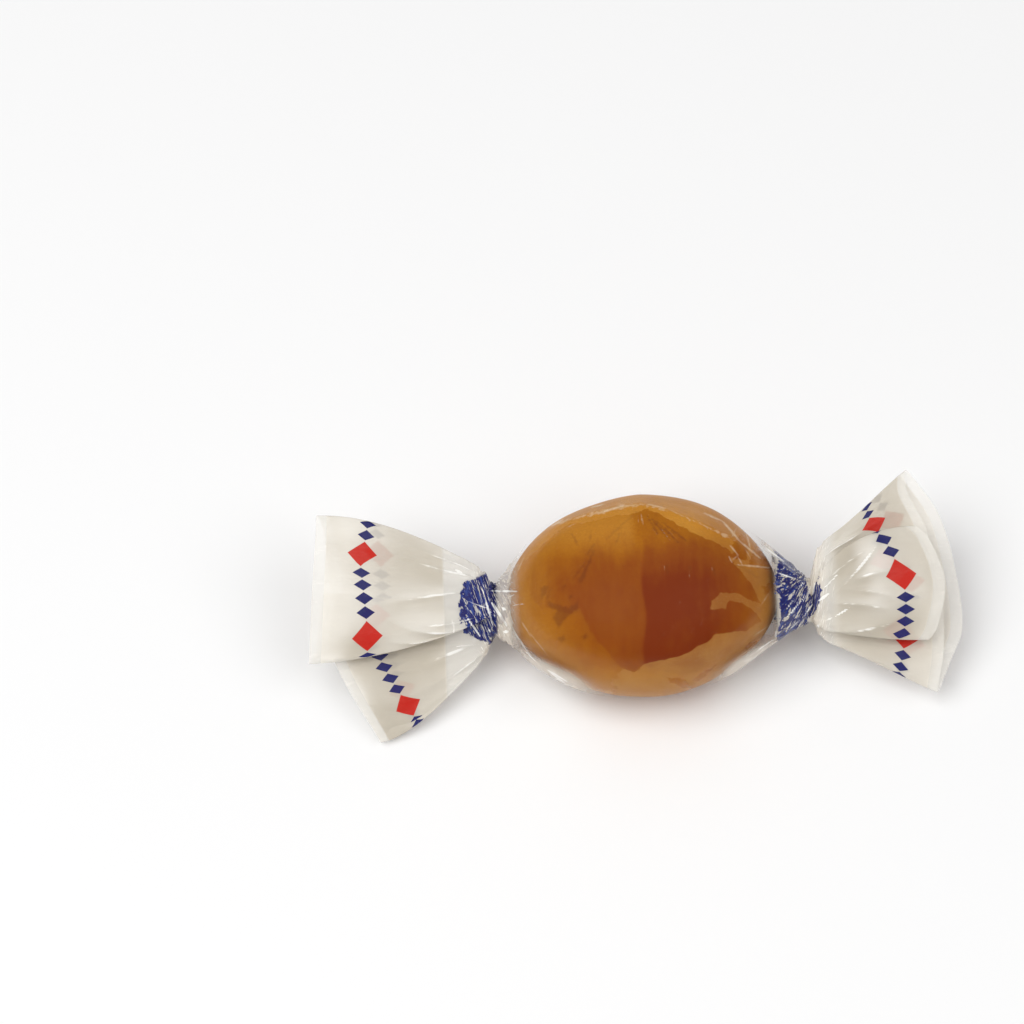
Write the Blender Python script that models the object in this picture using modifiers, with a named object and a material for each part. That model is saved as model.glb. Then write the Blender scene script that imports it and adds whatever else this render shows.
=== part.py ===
"""Hard caramel candy in a clear double-twist wrapper, lying on a table.

The sweet has two pieces. The caramel is an egg-like lozenge with a soft ridge across its
top. The wrapper is one sheet of film rolled into a tube: it hugs the caramel, narrows to
two pleated, twisted necks and flares beyond them into two flattened, folded fans.

Frame: +X runs along the sweet to its right fan, +Z is up, and the origin is on the table
under the middle of the whole. The fans lean back from the table by FAN_LEAN, so a fan has
directions of its own: "rise" goes up its face, and "front" stands out of that face.
"""

import math

import bmesh
import bpy
import numpy as np

MM = 0.001

# Caramel, in millimetres
CARAMEL_LENGTH = 27.2
CARAMEL_WIDTH = 20.1
CARAMEL_HEIGHT = 15.8
SECTION_POWER = 2.15  # 2 is an ellipse, more is squarer
END_POWER = 1.08  # above 1 draws the two ends to a blunt point
RIDGE_HEIGHT = 0.30
RIDGE_REACH = 6.5
SHOULDER = 0.35  # extra fullness on the upper right
SHOULDER_AT = 6.0
SHOULDER_REACH = 4.5
UNEVENNESS = 0.10
FOOT_DEPTH = 0.35  # how much of the round underside the flat foot takes away

# Film, in millimetres. The gap keeps the two solids apart.
FILM_THICKNESS = 0.15
FILM_GAP = 0.30

# Necks: distance of each waist from the caramel's middle, and its half sizes
LEFT_WAIST = 14.8
RIGHT_WAIST = 16.9
LEFT_WAIST_RADII = (2.45, 2.15)  # along rise, along front
RIGHT_WAIST_RADII = (2.05, 1.95)
NECK_SINK = (-0.50, -1.00)  # the waists sit nearer the viewer and lower than the middle
NECK_SINK_POWER = 5.0
PLEATS = 8
PLEAT_DEPTH = 0.13  # share of the neck's radius
PLEAT_FADE = 1.7  # distance from the waist over which they die away
TWIST = math.radians(60)
TWIST_REACH = 1.9

FAN_LEAN = math.radians(60)
RISE_FADE = 3.5  # powers of the distance left to the fan's edge
FRONT_FADE = 7.0
FRONT_GAIN = 9.0
FAN_CREASE = 0.28

COLUMNS = 60  # round the tube
CARAMEL_RINGS = 22
CARAMEL_SEGMENTS = 44

# Each fan's open edge, once round the tube from its upper corner, down the front and up
# the back: (column, reach from the waist, rise, front, how fast the rise is gained).
LEFT_FAN = (
    (0.0, 17.5, 10.1, 0.0, 2.0),
    (2.0, 17.6, 8.2, 0.75, 2.0),
    (7.0, 17.7, 3.1, 1.45, 2.2),
    (12.0, 17.6, -3.4, 1.75, 2.0),
    (14.0, 17.5, -4.9, 1.45, 1.8),
    (16.0, 17.1, -3.4, 0.95, 1.6),
    (20.0, 17.1, 1.3, 0.80, 1.2),
    (21.6, 17.0, 2.4, 0.45, 1.0),
    (23.4, 16.9, 1.0, 0.10, 1.2),
    (28.0, 16.3, -4.2, 0.20, 1.8),
    (36.4, 11.8, -12.7, 0.0, 1.6),
    (38.4, 12.6, -11.2, -0.55, 1.6),
    (45.0, 15.4, -5.2, -1.15, 1.9),
    (52.0, 16.3, 1.8, -1.25, 2.4),
    (58.0, 16.9, 8.4, -0.65, 2.1),
)
RIGHT_FAN = (
    (0.0, 10.0, 12.8, 0.0, 1.1),
    (2.0, 10.0, 10.8, 0.55, 1.2),
    (5.5, 11.6, 7.3, 0.62, 1.8),
    (9.0, 12.5, 3.8, 0.62, 2.0),
    (10.2, 12.3, 3.3, 1.00, 2.2),
    (13.4, 11.0, 6.3, 1.35, 2.4),
    (14.6, 10.6, 7.2, 1.80, 2.4),
    (16.0, 11.9, 5.9, 2.20, 2.3),
    (19.5, 13.3, 1.6, 2.45, 2.4),
    (23.6, 12.4, -2.9, 2.20, 2.4),
    (25.0, 11.5, -4.2, 1.80, 2.4),
    (26.4, 11.7, -3.2, 1.35, 2.2),
    (28.6, 12.8, -0.6, 1.20, 2.0),
    (29.8, 13.0, -0.2, 0.80, 1.9),
    (31.2, 13.2, -1.6, 0.42, 1.7),
    (35.0, 13.0, -5.8, 0.35, 1.3),
    (38.4, 12.3, -9.5, 0.0, 1.1),
    (40.4, 13.7, -6.6, -0.55, 1.1),
    (43.4, 15.1, -3.2, -0.90, 1.2),
    (50.0, 14.6, 3.1, -1.15, 1.3),
    (55.0, 13.2, 8.3, -0.90, 1.2),
    (58.4, 11.0, 11.7, -0.45, 1.1),
)
LEFT_FAN_JUMP = 0.15  # share of the rise gained just outside the waist
RIGHT_FAN_JUMP = 0.27
JUMP_REACH = 0.05
LEFT_FAN_TILT = -0.06  # front gained for each millimetre of rise
RIGHT_FAN_TILT = -0.12

# Rows of the film, as shares of the way from a waist to the fan's edge, and as angles
# along the caramel's length
FAN_ROWS = (1.0, 0.84, 0.68, 0.53, 0.40, 0.29, 0.20, 0.13, 0.07, 0.03)
CONE_ROWS = (0.0, 0.12, 0.26, 0.44, 0.68)  # from a waist to where the film meets the caramel
BODY_ROWS = 11


def section_radius(across, up):
    """Distance from the axis to the caramel's flank along the unit direction (across, up)."""
    flank = np.abs(across / (CARAMEL_WIDTH / 2)) ** SECTION_POWER
    crown = np.abs(up / (CARAMEL_HEIGHT / 2)) ** SECTION_POWER
    return (flank + crown) ** (-1 / SECTION_POWER)


def surface_relief(x, across, up):
    """Low swells of a pressed boiled sweet, the ridge over its top and one full shoulder."""
    swells = np.sin(0.42 * x + 2.1 * across) * np.cos(0.33 * x - 2.7 * up + 0.8)
    crest = np.sqrt((x / RIDGE_REACH) ** 2 + 0.0009)
    ridge = np.clip(1 - crest, 0, None) * np.clip(0.25 + up, 0, 1)
    facing = np.clip(across * math.sin(FAN_LEAN) + up * math.cos(FAN_LEAN), 0, 1)
    shoulder = facing * np.exp(-(((x - SHOULDER_AT) / SHOULDER_REACH) ** 2))
    return UNEVENNESS * swells + RIDGE_HEIGHT * ridge + SHOULDER * shoulder


def axis_height():
    """Height of the sweet's axis over the table, with the film's flat foot on the table."""
    return CARAMEL_HEIGHT / 2 + FILM_GAP + FILM_THICKNESS - FOOT_DEPTH


def direction(angle):
    """Unit direction (across, up) round the axis: 0 is a fan's rise and a quarter turn its front."""
    return np.sin(FAN_LEAN - angle), np.cos(FAN_LEAN - angle)


def pleat_wave(angle):
    """Uneven pleats round the neck, from -1 to 1."""
    return 0.7 * np.cos(PLEATS * angle) + 0.3 * np.cos((PLEATS - 3) * angle + 1.0)


def twist_at(distance):
    """Turn of the pleats at a distance from the waist, positive towards the caramel."""
    return TWIST * np.tanh(distance / TWIST_REACH)


def closed_curve(knots, field, columns):
    """Smooth closed curve through one field of a fan's knots, read at the given columns."""
    at = np.array([knot[0] for knot in knots])
    value = np.array([knot[field] for knot in knots])
    before, after = np.roll(at, 1), np.roll(at, -1)
    before[0] -= COLUMNS
    after[-1] += COLUMNS
    slope = (np.roll(value, -1) - np.roll(value, 1)) / (after - before)
    first = np.searchsorted(at, columns, side="right") - 1
    second = (first + 1) % len(at)
    width = after[first] - at[first]
    t = (columns - at[first]) / width
    start = (1 + 2 * t) * (1 - t) ** 2 * value[first] + t * (1 - t) ** 2 * width * slope[first]
    end = t * t * (3 - 2 * t) * value[second] - t * t * (1 - t) * width * slope[second]
    return start + end


def pleat_depth(distance):
    """Depth of the pleats, as a share of the neck's radius, at a distance from the waist."""
    return PLEAT_DEPTH * np.exp(-distance / PLEAT_FADE)


def ring_at(radii, angle, distance, depth):
    """(rise, front) of the pleated neck at a distance from its waist."""
    wave = 1 + depth * pleat_wave(angle - twist_at(distance))
    return radii[0] * wave * np.cos(angle), radii[1] * wave * np.sin(angle)


def fan_row(knots, radii, tilt, jump, share, columns, angle):
    """One ring of a fan, as (reach, rise, front): its open edge drawn in towards the waist.

    Reach is gained evenly, rise faster near the waist, and the neck's ring dies away."""
    edge = [closed_curve(knots, field, columns) for field in (1, 2, 3, 4)]
    left = 1 - share
    missing = 1 - jump * (1 - math.exp(-share / JUMP_REACH))
    reach = edge[0] * share
    ring_rise, ring_front = ring_at(radii, angle, -reach, pleat_depth(reach))
    rise = edge[1] * (1 - missing * left ** edge[3]) + ring_rise * left**RISE_FADE
    front = edge[2] * (1 - left**FRONT_GAIN) + ring_front * left**FRONT_FADE
    crease = FAN_CREASE * share * left**2 * np.cos(9 * angle + 0.7)
    return reach, rise, front + tilt * rise * share + crease


def waist_line(waist, radii, angle, film_length, film_radius):
    """The angle along the caramel where a straight line from the waist just meets the film."""
    waist_radius = np.hypot(radii[0] * np.cos(angle), radii[1] * np.sin(angle))
    along = waist / film_length
    out = waist_radius / film_radius
    return np.arctan2(out, along) + np.arccos(1 / np.hypot(along, out)), waist_radius


def sink(x, waist):
    """How far the film's middle has moved from the axis to the waist's own middle."""
    share = np.clip(np.abs(x) / waist, 0, 1) ** NECK_SINK_POWER
    return NECK_SINK[0] * share, NECK_SINK[1] * share


def body_ring(x, radius, across, up, waist):
    """Points of one ring of film round the caramel, no lower than the table."""
    moved_across, moved_up = sink(x, waist)
    height = axis_height() + radius * up + moved_up
    return np.stack([x, radius * across + moved_across, np.maximum(height, 0)], axis=-1)


def film_rings():
    """Every ring of the film from the left fan's edge to the right fan's, one after another."""
    columns = np.arange(COLUMNS, dtype=float)
    angle = 2 * math.pi * columns / COLUMNS
    across, up = direction(angle)
    film_length = CARAMEL_LENGTH / 2 + FILM_GAP + FILM_THICKNESS
    film_radius = section_radius(across, up) + FILM_GAP + FILM_THICKNESS
    sides = (
        (-1, LEFT_WAIST, LEFT_WAIST_RADII, LEFT_FAN, LEFT_FAN_TILT, LEFT_FAN_JUMP),
        (1, RIGHT_WAIST, RIGHT_WAIST_RADII, RIGHT_FAN, RIGHT_FAN_TILT, RIGHT_FAN_JUMP),
    )
    rings, meets = [], []
    for side, waist, radii, knots, tilt, jump in sides:
        fan, cone = [], []
        for share in FAN_ROWS:
            reach, rise, front = fan_row(knots, radii, tilt, jump, share, columns, angle)
            y = rise * math.sin(FAN_LEAN) - front * math.cos(FAN_LEAN) + NECK_SINK[0]
            z = rise * math.cos(FAN_LEAN) + front * math.sin(FAN_LEAN) + NECK_SINK[1]
            fan.append(np.stack([side * (waist + reach), y, z + axis_height()], axis=-1))
        meet, _ = waist_line(waist, radii, angle, film_length, film_radius)
        meets.append(meet)
        for share in CONE_ROWS:
            x = waist + (film_length * np.cos(meet) - waist) * share
            distance = waist - x
            rise, front = ring_at(radii, angle, distance, pleat_depth(distance))
            outer = film_radius * np.sin(meet)
            radius = np.hypot(rise, front) * (1 - share) + outer * share
            cone.append(body_ring(side * x, radius, across, up, waist))
        rings.append(fan + cone)
    body = []
    for share in np.linspace(0, 1, BODY_ROWS):
        along = math.pi - meets[0] + (meets[1] - math.pi + meets[0]) * share
        x = film_length * np.cos(along)
        waist = np.where(x < 0, LEFT_WAIST, RIGHT_WAIST)
        radius = film_radius * np.sin(along) + surface_relief(x, across, up)
        body.append(body_ring(x, radius, across, up, waist))
    return rings[0] + body + rings[1][::-1]


def linked(name, mesh, collection, material):
    """A new object for the mesh, with one material, in the collection."""
    obj = bpy.data.objects.new(name, mesh)
    mesh.materials.append(material)
    collection.objects.link(obj)
    return obj


def surface_material(name, colour, roughness, alpha=1.0):
    """A Principled material of one plain colour."""
    material = bpy.data.materials.new(name)
    material.use_nodes = True
    shader = material.node_tree.nodes["Principled BSDF"]
    shader.inputs["Base Color"].default_value = (*colour, 1.0)
    shader.inputs["Roughness"].default_value = roughness
    shader.inputs["Metallic"].default_value = 0.0
    shader.inputs["Alpha"].default_value = alpha
    material.diffuse_color = (*colour, alpha)
    return material


def make_caramel(collection, centre):
    """The boiled sweet: a sphere drawn out along X, squared a little, with a ridge and a foot."""
    bm = bmesh.new()
    bmesh.ops.create_uvsphere(bm, u_segments=CARAMEL_SEGMENTS, v_segments=CARAMEL_RINGS, radius=1)
    for vert in bm.verts:
        polar = math.acos(max(-1.0, min(1.0, vert.co.z)))
        turn = math.atan2(vert.co.y, vert.co.x)
        across, up = math.cos(turn), math.sin(turn)
        x = -CARAMEL_LENGTH / 2 * math.cos(polar)
        taper = max(math.sin(polar), 0.0)
        radius = section_radius(across, up) * taper**END_POWER
        radius += taper * float(surface_relief(x, across, up))
        z = max(axis_height() + radius * up, FILM_GAP + FILM_THICKNESS)
        vert.co = ((x - centre[0]) * MM, (radius * across - centre[1]) * MM, z * MM)
    bmesh.ops.recalc_face_normals(bm, faces=bm.faces)
    mesh = bpy.data.meshes.new("caramel")
    bm.to_mesh(mesh)
    bm.free()
    mesh.shade_smooth()
    caramel_brown = surface_material("caramel", (0.36, 0.13, 0.025), 0.25)
    return linked("caramel", mesh, collection, caramel_brown)


def make_wrapper(collection, rings, centre):
    """The film: a loft through all its rings, open at both fans, given its thickness inwards."""
    bm = bmesh.new()
    rows = []
    for ring in rings:
        moved = (ring - np.array([centre[0], centre[1], 0.0])) * MM
        rows.append([bm.verts.new(point) for point in moved])
    for row, following in zip(rows, rows[1:]):
        for column in range(COLUMNS):
            other = (column + 1) % COLUMNS
            corners = (row[column], row[other], following[other], following[column])
            bm.faces.new(corners)
    bmesh.ops.recalc_face_normals(bm, faces=bm.faces)
    mesh = bpy.data.meshes.new("wrapper")
    bm.to_mesh(mesh)
    bm.free()
    mesh.shade_smooth()
    mesh.set_sharp_from_angle(angle=math.radians(50))
    clear_film = surface_material("clear_film", (0.90, 0.87, 0.80), 0.12, alpha=0.4)
    wrapper = linked("wrapper", mesh, collection, clear_film)
    wall = wrapper.modifiers.new("film thickness", "SOLIDIFY")
    wall.thickness = FILM_THICKNESS * MM
    wall.offset = -1.0
    return wrapper


def main():
    for obj in list(bpy.data.objects):
        bpy.data.objects.remove(obj, do_unlink=True)
    collection = bpy.data.collections.new("wrapped_caramel")
    bpy.context.scene.collection.children.link(collection)
    rings = film_rings()
    points = np.concatenate(rings)
    centre = (points.min(axis=0) + points.max(axis=0)) / 2
    make_caramel(collection, centre)
    make_wrapper(collection, rings, centre)


main()
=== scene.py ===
"""Hard caramel candy in a clear double-twist wrapper: its looks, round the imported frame.

The caramel and the sheet of film are worked out again here on finer grids, in millimetres,
and put where the frame has them. X runs along the sweet. The fans lean back from the table
by LEAN, so places on the sweet's face are given as x and "rise", which goes up the fans'
face, and "front" stands out of it.
"""

import math
from collections import namedtuple

import bpy
import numpy as np
from bpy.props import FloatProperty, FloatVectorProperty, IntProperty, PointerProperty
from bpy.types import Operator, Panel, PropertyGroup
from mathutils import Matrix, Vector


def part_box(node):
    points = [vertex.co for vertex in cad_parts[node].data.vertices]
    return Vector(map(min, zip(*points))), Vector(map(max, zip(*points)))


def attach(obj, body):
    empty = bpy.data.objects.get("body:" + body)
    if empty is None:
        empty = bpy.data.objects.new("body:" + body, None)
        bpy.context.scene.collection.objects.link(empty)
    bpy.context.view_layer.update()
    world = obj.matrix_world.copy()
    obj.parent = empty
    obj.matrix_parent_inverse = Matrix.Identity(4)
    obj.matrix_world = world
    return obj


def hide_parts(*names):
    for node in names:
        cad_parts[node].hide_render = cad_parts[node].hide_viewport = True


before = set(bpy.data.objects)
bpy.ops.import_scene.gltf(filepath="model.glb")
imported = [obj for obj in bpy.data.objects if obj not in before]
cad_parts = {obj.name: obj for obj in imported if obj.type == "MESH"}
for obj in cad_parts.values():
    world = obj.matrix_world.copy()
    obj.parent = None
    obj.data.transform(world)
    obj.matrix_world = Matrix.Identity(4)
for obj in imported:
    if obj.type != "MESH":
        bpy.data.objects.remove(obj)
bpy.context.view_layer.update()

bl_info = {
    "name": "Wrapped caramel candy",
    "version": (1, 0, 0),
    "blender": (4, 5, 0),
    "location": "3D View > Sidebar > Caramel candy",
    "description": "Dresses a boiled caramel sweet and its twisted film wrapper",
    "category": "Add Mesh",
}

MM = 0.001  # one millimetre, in metres


def srgb(red, green, blue):
    """Linear colour of an 8-bit screen colour."""
    channels = np.array((red, green, blue)) / 255
    low = channels / 12.92
    high = ((channels + 0.055) / 1.055) ** 2.4
    return tuple(float(c) for c in np.where(channels <= 0.04045, low, high))


# The caramel, in millimetres
CARAMEL_LENGTH = 27.2
CARAMEL_WIDTH = 20.1
CARAMEL_HEIGHT = 15.8
SECTION_POWER = 2.15
END_POWER = 1.08
RIDGE_HEIGHT = 0.30
RIDGE_REACH = 6.5
SHOULDER = 0.35
SHOULDER_AT = 6.0
SHOULDER_REACH = 4.5
UNEVENNESS = 0.10
FOOT_DEPTH = 0.35
FILM_GAP = 0.30
FILM_THICKNESS = 0.15
SWELL = 0.22  # how far the caramel's skin stands out towards the film
SKIRT_DEPTH = 0.42  # how far it draws back where the film stands off
SKIRTS = ((-9.0, 3.2), (10.2, 2.6))  # x and reach of each such place
RIM_CREST = 0.10
RIM_CREST_REACH = 0.35
RIM_BEVEL = 0.30
FACE_HALF_RISE = 10.2  # half the caramel's height as its face shows it

# The film's necks and fans, in millimetres
LEAN = math.radians(60)
COLUMNS = 60  # places round the tube in the tables below
NECK_SINK = (-0.50, -1.00)  # of the waists' middles from the sweet's axis, across and up
NECK_SINK_POWER = 5.0
PLEAT_FADE = 2.2  # distance from a waist in which the pleats die away
TWIST_REACH = 1.9  # distance from a waist in which they make most of their turn
RISE_FADE = 3.5  # powers with which a fan leaves the neck's ring and gains its own form
FRONT_FADE = 7.0
FRONT_GAIN = 9.0
JUMP_REACH = 0.05  # share of the way out in which the first rise is gained
FAN_WAVE = 0.28  # heights of a fan's waves and folds
WIDE_FOLDS = 0.20
FINE_FOLDS = 0.11
PUCKER = 0.10  # height of the wrinkles between a waist and the caramel
BODY_WRINKLE = 0.05  # and of their ends on the caramel
# The flanks' glint is a painted highlight that lifts the standing film out of its shade
FLANK_GLINT = 0.55  # how bright the film is where it stands off the low flanks
FAN_CROWDING = 1.5  # powers that crowd the rows of points towards a waist
CONE_CROWDING = 1.3
PLEAT_SHINE = 3.2  # distance from a waist in which light and shade on the pleats die away
STROKE_NARROWING = 0.07  # how much thinner a stroke is at its ends
BORDER = 1.2  # clear film between a fan's open edge and its milky panel
NECK_REACH = 6.0  # distance from a waist up to which the necks' noise is laid out
NECK_GIRTH = 2.3  # radius of the circle that the necks' noise runs round

# The printed band of each fan, in columns along it, about a millimetre each, and in
# millimetres across: half width and half height of a lozenge
LOZENGE_PERIOD = 7.5
RED_LOZENGE = (1.40, 1.60)
NAVY_LOZENGE = (0.52, 0.95)
NAVY_PITCH = 1.15
NAVY_START = 1.45  # where the navy ones begin, from the red one's middle
NAVY_BLUR = 0.02

# Each fan's open edge, once round the tube from its upper corner, down the front and up
# the back: (column, reach from the waist, rise, front, how fast the rise is gained).
LEFT_FAN = (
    (0.0, 17.5, 10.1, 0.0, 2.0),
    (2.0, 17.65, 8.2, 0.75, 2.0),
    (7.0, 18.1, 3.1, 1.45, 2.2),
    (12.0, 18.55, -3.3, 1.75, 2.0),
    (14.0, 18.6, -4.7, 1.45, 1.8),
    (16.0, 17.9, -3.3, 0.95, 1.6),
    (20.0, 17.3, 1.3, 0.80, 1.2),
    (21.6, 17.0, 2.4, 0.45, 1.0),
    (23.4, 16.9, 1.0, 0.10, 1.2),
    (28.0, 16.3, -4.2, 0.20, 1.8),
    (36.4, 11.8, -12.7, 0.0, 1.6),
    (38.4, 12.6, -11.2, -0.55, 1.6),
    (45.0, 15.4, -5.2, -1.15, 1.9),
    (52.0, 16.3, 1.8, -1.25, 2.4),
    (58.0, 16.9, 8.4, -0.65, 2.1),
)
RIGHT_FAN = (
    (0.0, 10.0, 12.8, 0.0, 1.1),
    (2.0, 10.0, 10.8, 0.55, 1.2),
    (5.5, 11.6, 7.3, 0.62, 1.8),
    (9.0, 12.5, 3.8, 0.62, 2.0),
    (10.2, 12.3, 3.3, 1.00, 2.2),
    (13.4, 11.0, 6.3, 1.35, 2.4),
    (14.6, 10.6, 7.2, 1.80, 2.4),
    (16.0, 11.9, 5.9, 2.20, 2.3),
    (19.5, 13.3, 1.6, 2.45, 2.4),
    (23.6, 12.4, -2.9, 2.20, 2.4),
    (25.0, 11.5, -4.2, 1.80, 2.4),
    (26.4, 11.7, -3.2, 1.35, 2.2),
    (28.6, 12.8, -0.6, 1.20, 2.0),
    (29.8, 13.0, -0.2, 0.80, 1.9),
    (31.2, 13.2, -1.6, 0.42, 1.7),
    (35.0, 13.0, -5.8, 0.35, 1.3),
    (38.4, 12.3, -9.5, 0.0, 1.1),
    (40.4, 13.7, -6.6, -0.55, 1.1),
    (43.4, 15.1, -3.2, -0.90, 1.2),
    (50.0, 14.6, 3.1, -1.15, 1.3),
    (55.0, 13.2, 8.3, -0.90, 1.2),
    (58.4, 11.0, 11.7, -0.45, 1.1),
)

# Where the printed band runs on each fan: (column, share of the way from the waist to the
# open edge)
LEFT_PRINT_ROW = (
    (0.0, 0.70), (4.8, 0.74), (10.5, 0.69), (20.0, 0.68), (29.0, 0.72), (34.0, 0.68),
)
RIGHT_PRINT_ROW = (
    (0.0, 0.60), (14.9, 0.63), (19.5, 0.69), (23.5, 0.74), (35.4, 0.70), (49.4, 0.68),
)

# Creases that stand out of the fans: (column at the waist, column at the far end, first and
# last share of the way out, half width in columns, height)
LEFT_CREASES = (
    (15.3, 6.0, 0.10, 0.60, 0.34, 0.46),
    (16.0, 9.0, 0.08, 0.58, 0.30, 0.44),
    (12.6, 8.4, 0.05, 0.42, 0.28, 0.24),
    (7.0, 9.6, 0.10, 0.62, 0.30, 0.20),
    (4.4, 3.0, 0.06, 0.46, 0.40, 0.24),
    (2.2, 1.4, 0.04, 0.40, 0.35, 0.26),
    (29.0, 32.0, 0.10, 0.50, 0.60, 0.26),
    (33.0, 34.6, 0.06, 0.38, 0.50, 0.24),
    (45.0, 43.0, 0.05, 0.50, 0.60, -0.26),
    (49.0, 49.5, 0.10, 0.60, 0.50, -0.24),
    (53.0, 54.0, 0.05, 0.45, 0.60, -0.26),
)
RIGHT_CREASES = (
    (20.4, 12.3, 0.16, 0.64, 0.36, 0.46),
    (18.6, 17.8, 0.24, 0.66, 0.26, 0.26),
    (18.0, 22.3, 0.20, 0.62, 0.28, 0.36),
    (20.0, 23.2, 0.14, 0.60, 0.30, 0.40),
    (25.6, 22.0, 0.16, 0.72, 0.34, 0.46),
    (17.0, 14.6, 0.10, 0.50, 0.30, 0.24),
    (4.5, 3.4, 0.08, 0.50, 0.40, 0.24),
    (34.0, 34.8, 0.08, 0.62, 0.50, 0.24),
    (45.0, 44.0, 0.05, 0.50, 0.60, -0.26),
    (52.0, 53.0, 0.05, 0.45, 0.60, -0.26),
)

# Soft zones in the fans where the film is painted lighter or darker, partly for its own
# milkiness and partly as painted light and shade on its billows: (column, share of the way
# out, radius in columns, radius in shares, strength)
LEFT_TONES = (
    (8.6, 0.80, 2.6, 0.16, 0.55),
    (11.0, 0.42, 2.0, 0.14, 0.35),
    (3.4, 0.40, 3.0, 0.20, -0.55),
    (12.4, 0.72, 1.5, 0.10, -0.45),
    (13.2, 0.88, 0.8, 0.06, 0.60),
    (28.0, 0.60, 4.5, 0.34, -1.00),
    (35.2, 0.86, 2.6, 0.16, -1.35),
    (31.0, 0.95, 1.5, 0.06, 0.80),
    (0.5, 0.80, 2.0, 0.14, 0.40),
    (47.0, 0.55, 5.0, 0.25, -0.30),
)
RIGHT_TONES = (
    (19.0, 0.45, 15.0, 0.70, -0.24),
    (15.5, 0.24, 4.0, 0.14, -0.70),
    (3.5, 0.85, 3.5, 0.20, -0.50),
    (17.0, 0.52, 1.8, 0.13, 0.80),
    (21.2, 0.50, 1.6, 0.12, 0.55),
    (15.6, 0.30, 2.0, 0.10, -0.50),
    (19.2, 0.36, 0.8, 0.08, -0.40),
    (23.8, 0.66, 1.2, 0.18, -0.50),
    (18.0, 0.92, 3.5, 0.07, -0.35),
    (5.0, 0.55, 3.5, 0.25, -0.60),
    (33.0, 0.55, 4.0, 0.30, -0.20),
    (48.0, 0.55, 6.0, 0.25, -0.30),
)

# What one side of the sweet has of its own: distance of its waist from the middle, half
# height and half depth of that, how much rise is gained at once, lean of the fan to the
# front for each millimetre of rise, and its tables
Side = namedtuple("Side", "waist radii jump tilt edge print_row creases tones")
SIDES = {
    -1: Side(14.8, (2.45, 2.15), 0.15, -0.06, LEFT_FAN, LEFT_PRINT_ROW, LEFT_CREASES, LEFT_TONES),
    1: Side(
        16.9, (2.05, 1.95), 0.27, -0.12, RIGHT_FAN, RIGHT_PRINT_ROW, RIGHT_CREASES, RIGHT_TONES
    ),
}

# The caramel's face, as (x, rise): where it looks deepest, and where the film clings to it
DEEP = (
    (-6.4, -0.7), (-5.3, -3.2), (-4.1, -4.7), (-3.2, -5.9), (-2.4, -6.8), (-1.2, -7.3),
    (-0.3, -6.6), (4.0, -8.0), (12.0, -4.0), (13.0, 3.0), (6.0, 8.5), (0.5, 9.5), (-5.0, 8.6),
    (-8.8, 6.6), (-10.6, 4.8), (-11.6, 2.9), (-11.1, 0.2), (-10.1, -0.7), (-9.0, -0.6),
    (-8.2, -1.2), (-7.0, -1.2),
)
CLINGING = (
    (-12.6, -7.0), (-7.0, -10.6), (-3.5, -10.8), (-3.0, -7.6), (-2.2, -6.9), (-1.2, -7.3),
    (-0.3, -6.6), (0.6, -6.3), (2.0, -6.1), (4.1, -5.6), (5.4, -4.8), (6.2, -4.6), (6.9, -3.8),
    (8.7, -3.6), (10.2, -3.6), (11.1, -2.9), (11.7, -2.7), (10.9, -1.6), (10.0, -1.0),
    (8.5, -0.5), (8.0, -1.3), (6.6, -1.3), (6.7, -0.5), (7.6, 0.2), (9.1, 0.3), (10.3, -0.4),
    (11.6, -0.9), (11.3, -0.1), (10.4, 1.5), (8.9, 3.4), (8.7, 4.4), (7.2, 5.4), (5.0, 6.3),
    (3.0, 7.6), (1.6, 8.4), (0.5, 8.8), (-1.0, 8.3), (-2.7, 8.2), (-4.0, 7.9), (-5.5, 7.6),
    (-7.1, 7.5), (-8.8, 6.4), (-10.6, 4.8), (-12.4, 3.4), (-13.9, 1.0), (-13.9, -1.6),
)
SMALL_CLINGING = (
    ((2.0, -7.8), (3.0, -8.0), (4.3, -8.6), (4.8, -9.5), (3.5, -8.9), (2.3, -8.3)),
    ((4.7, -8.4), (5.6, -7.5), (6.9, -6.9), (6.2, -7.7), (5.3, -8.4)),
    ((9.8, -5.7), (10.5, -4.9), (11.5, -4.5), (10.8, -5.2)),
    ((9.3, 5.3), (10.4, 6.2), (10.7, 4.4), (10.3, 3.3), (8.9, 3.7)),
    ((11.4, 4.7), (12.5, 4.9), (12.6, 3.2), (13.0, 2.4), (11.3, 2.6), (10.6, 3.2)),
    ((11.8, 0.7), (13.0, 1.1), (13.4, 0.3), (12.3, 0.0)),
)
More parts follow.
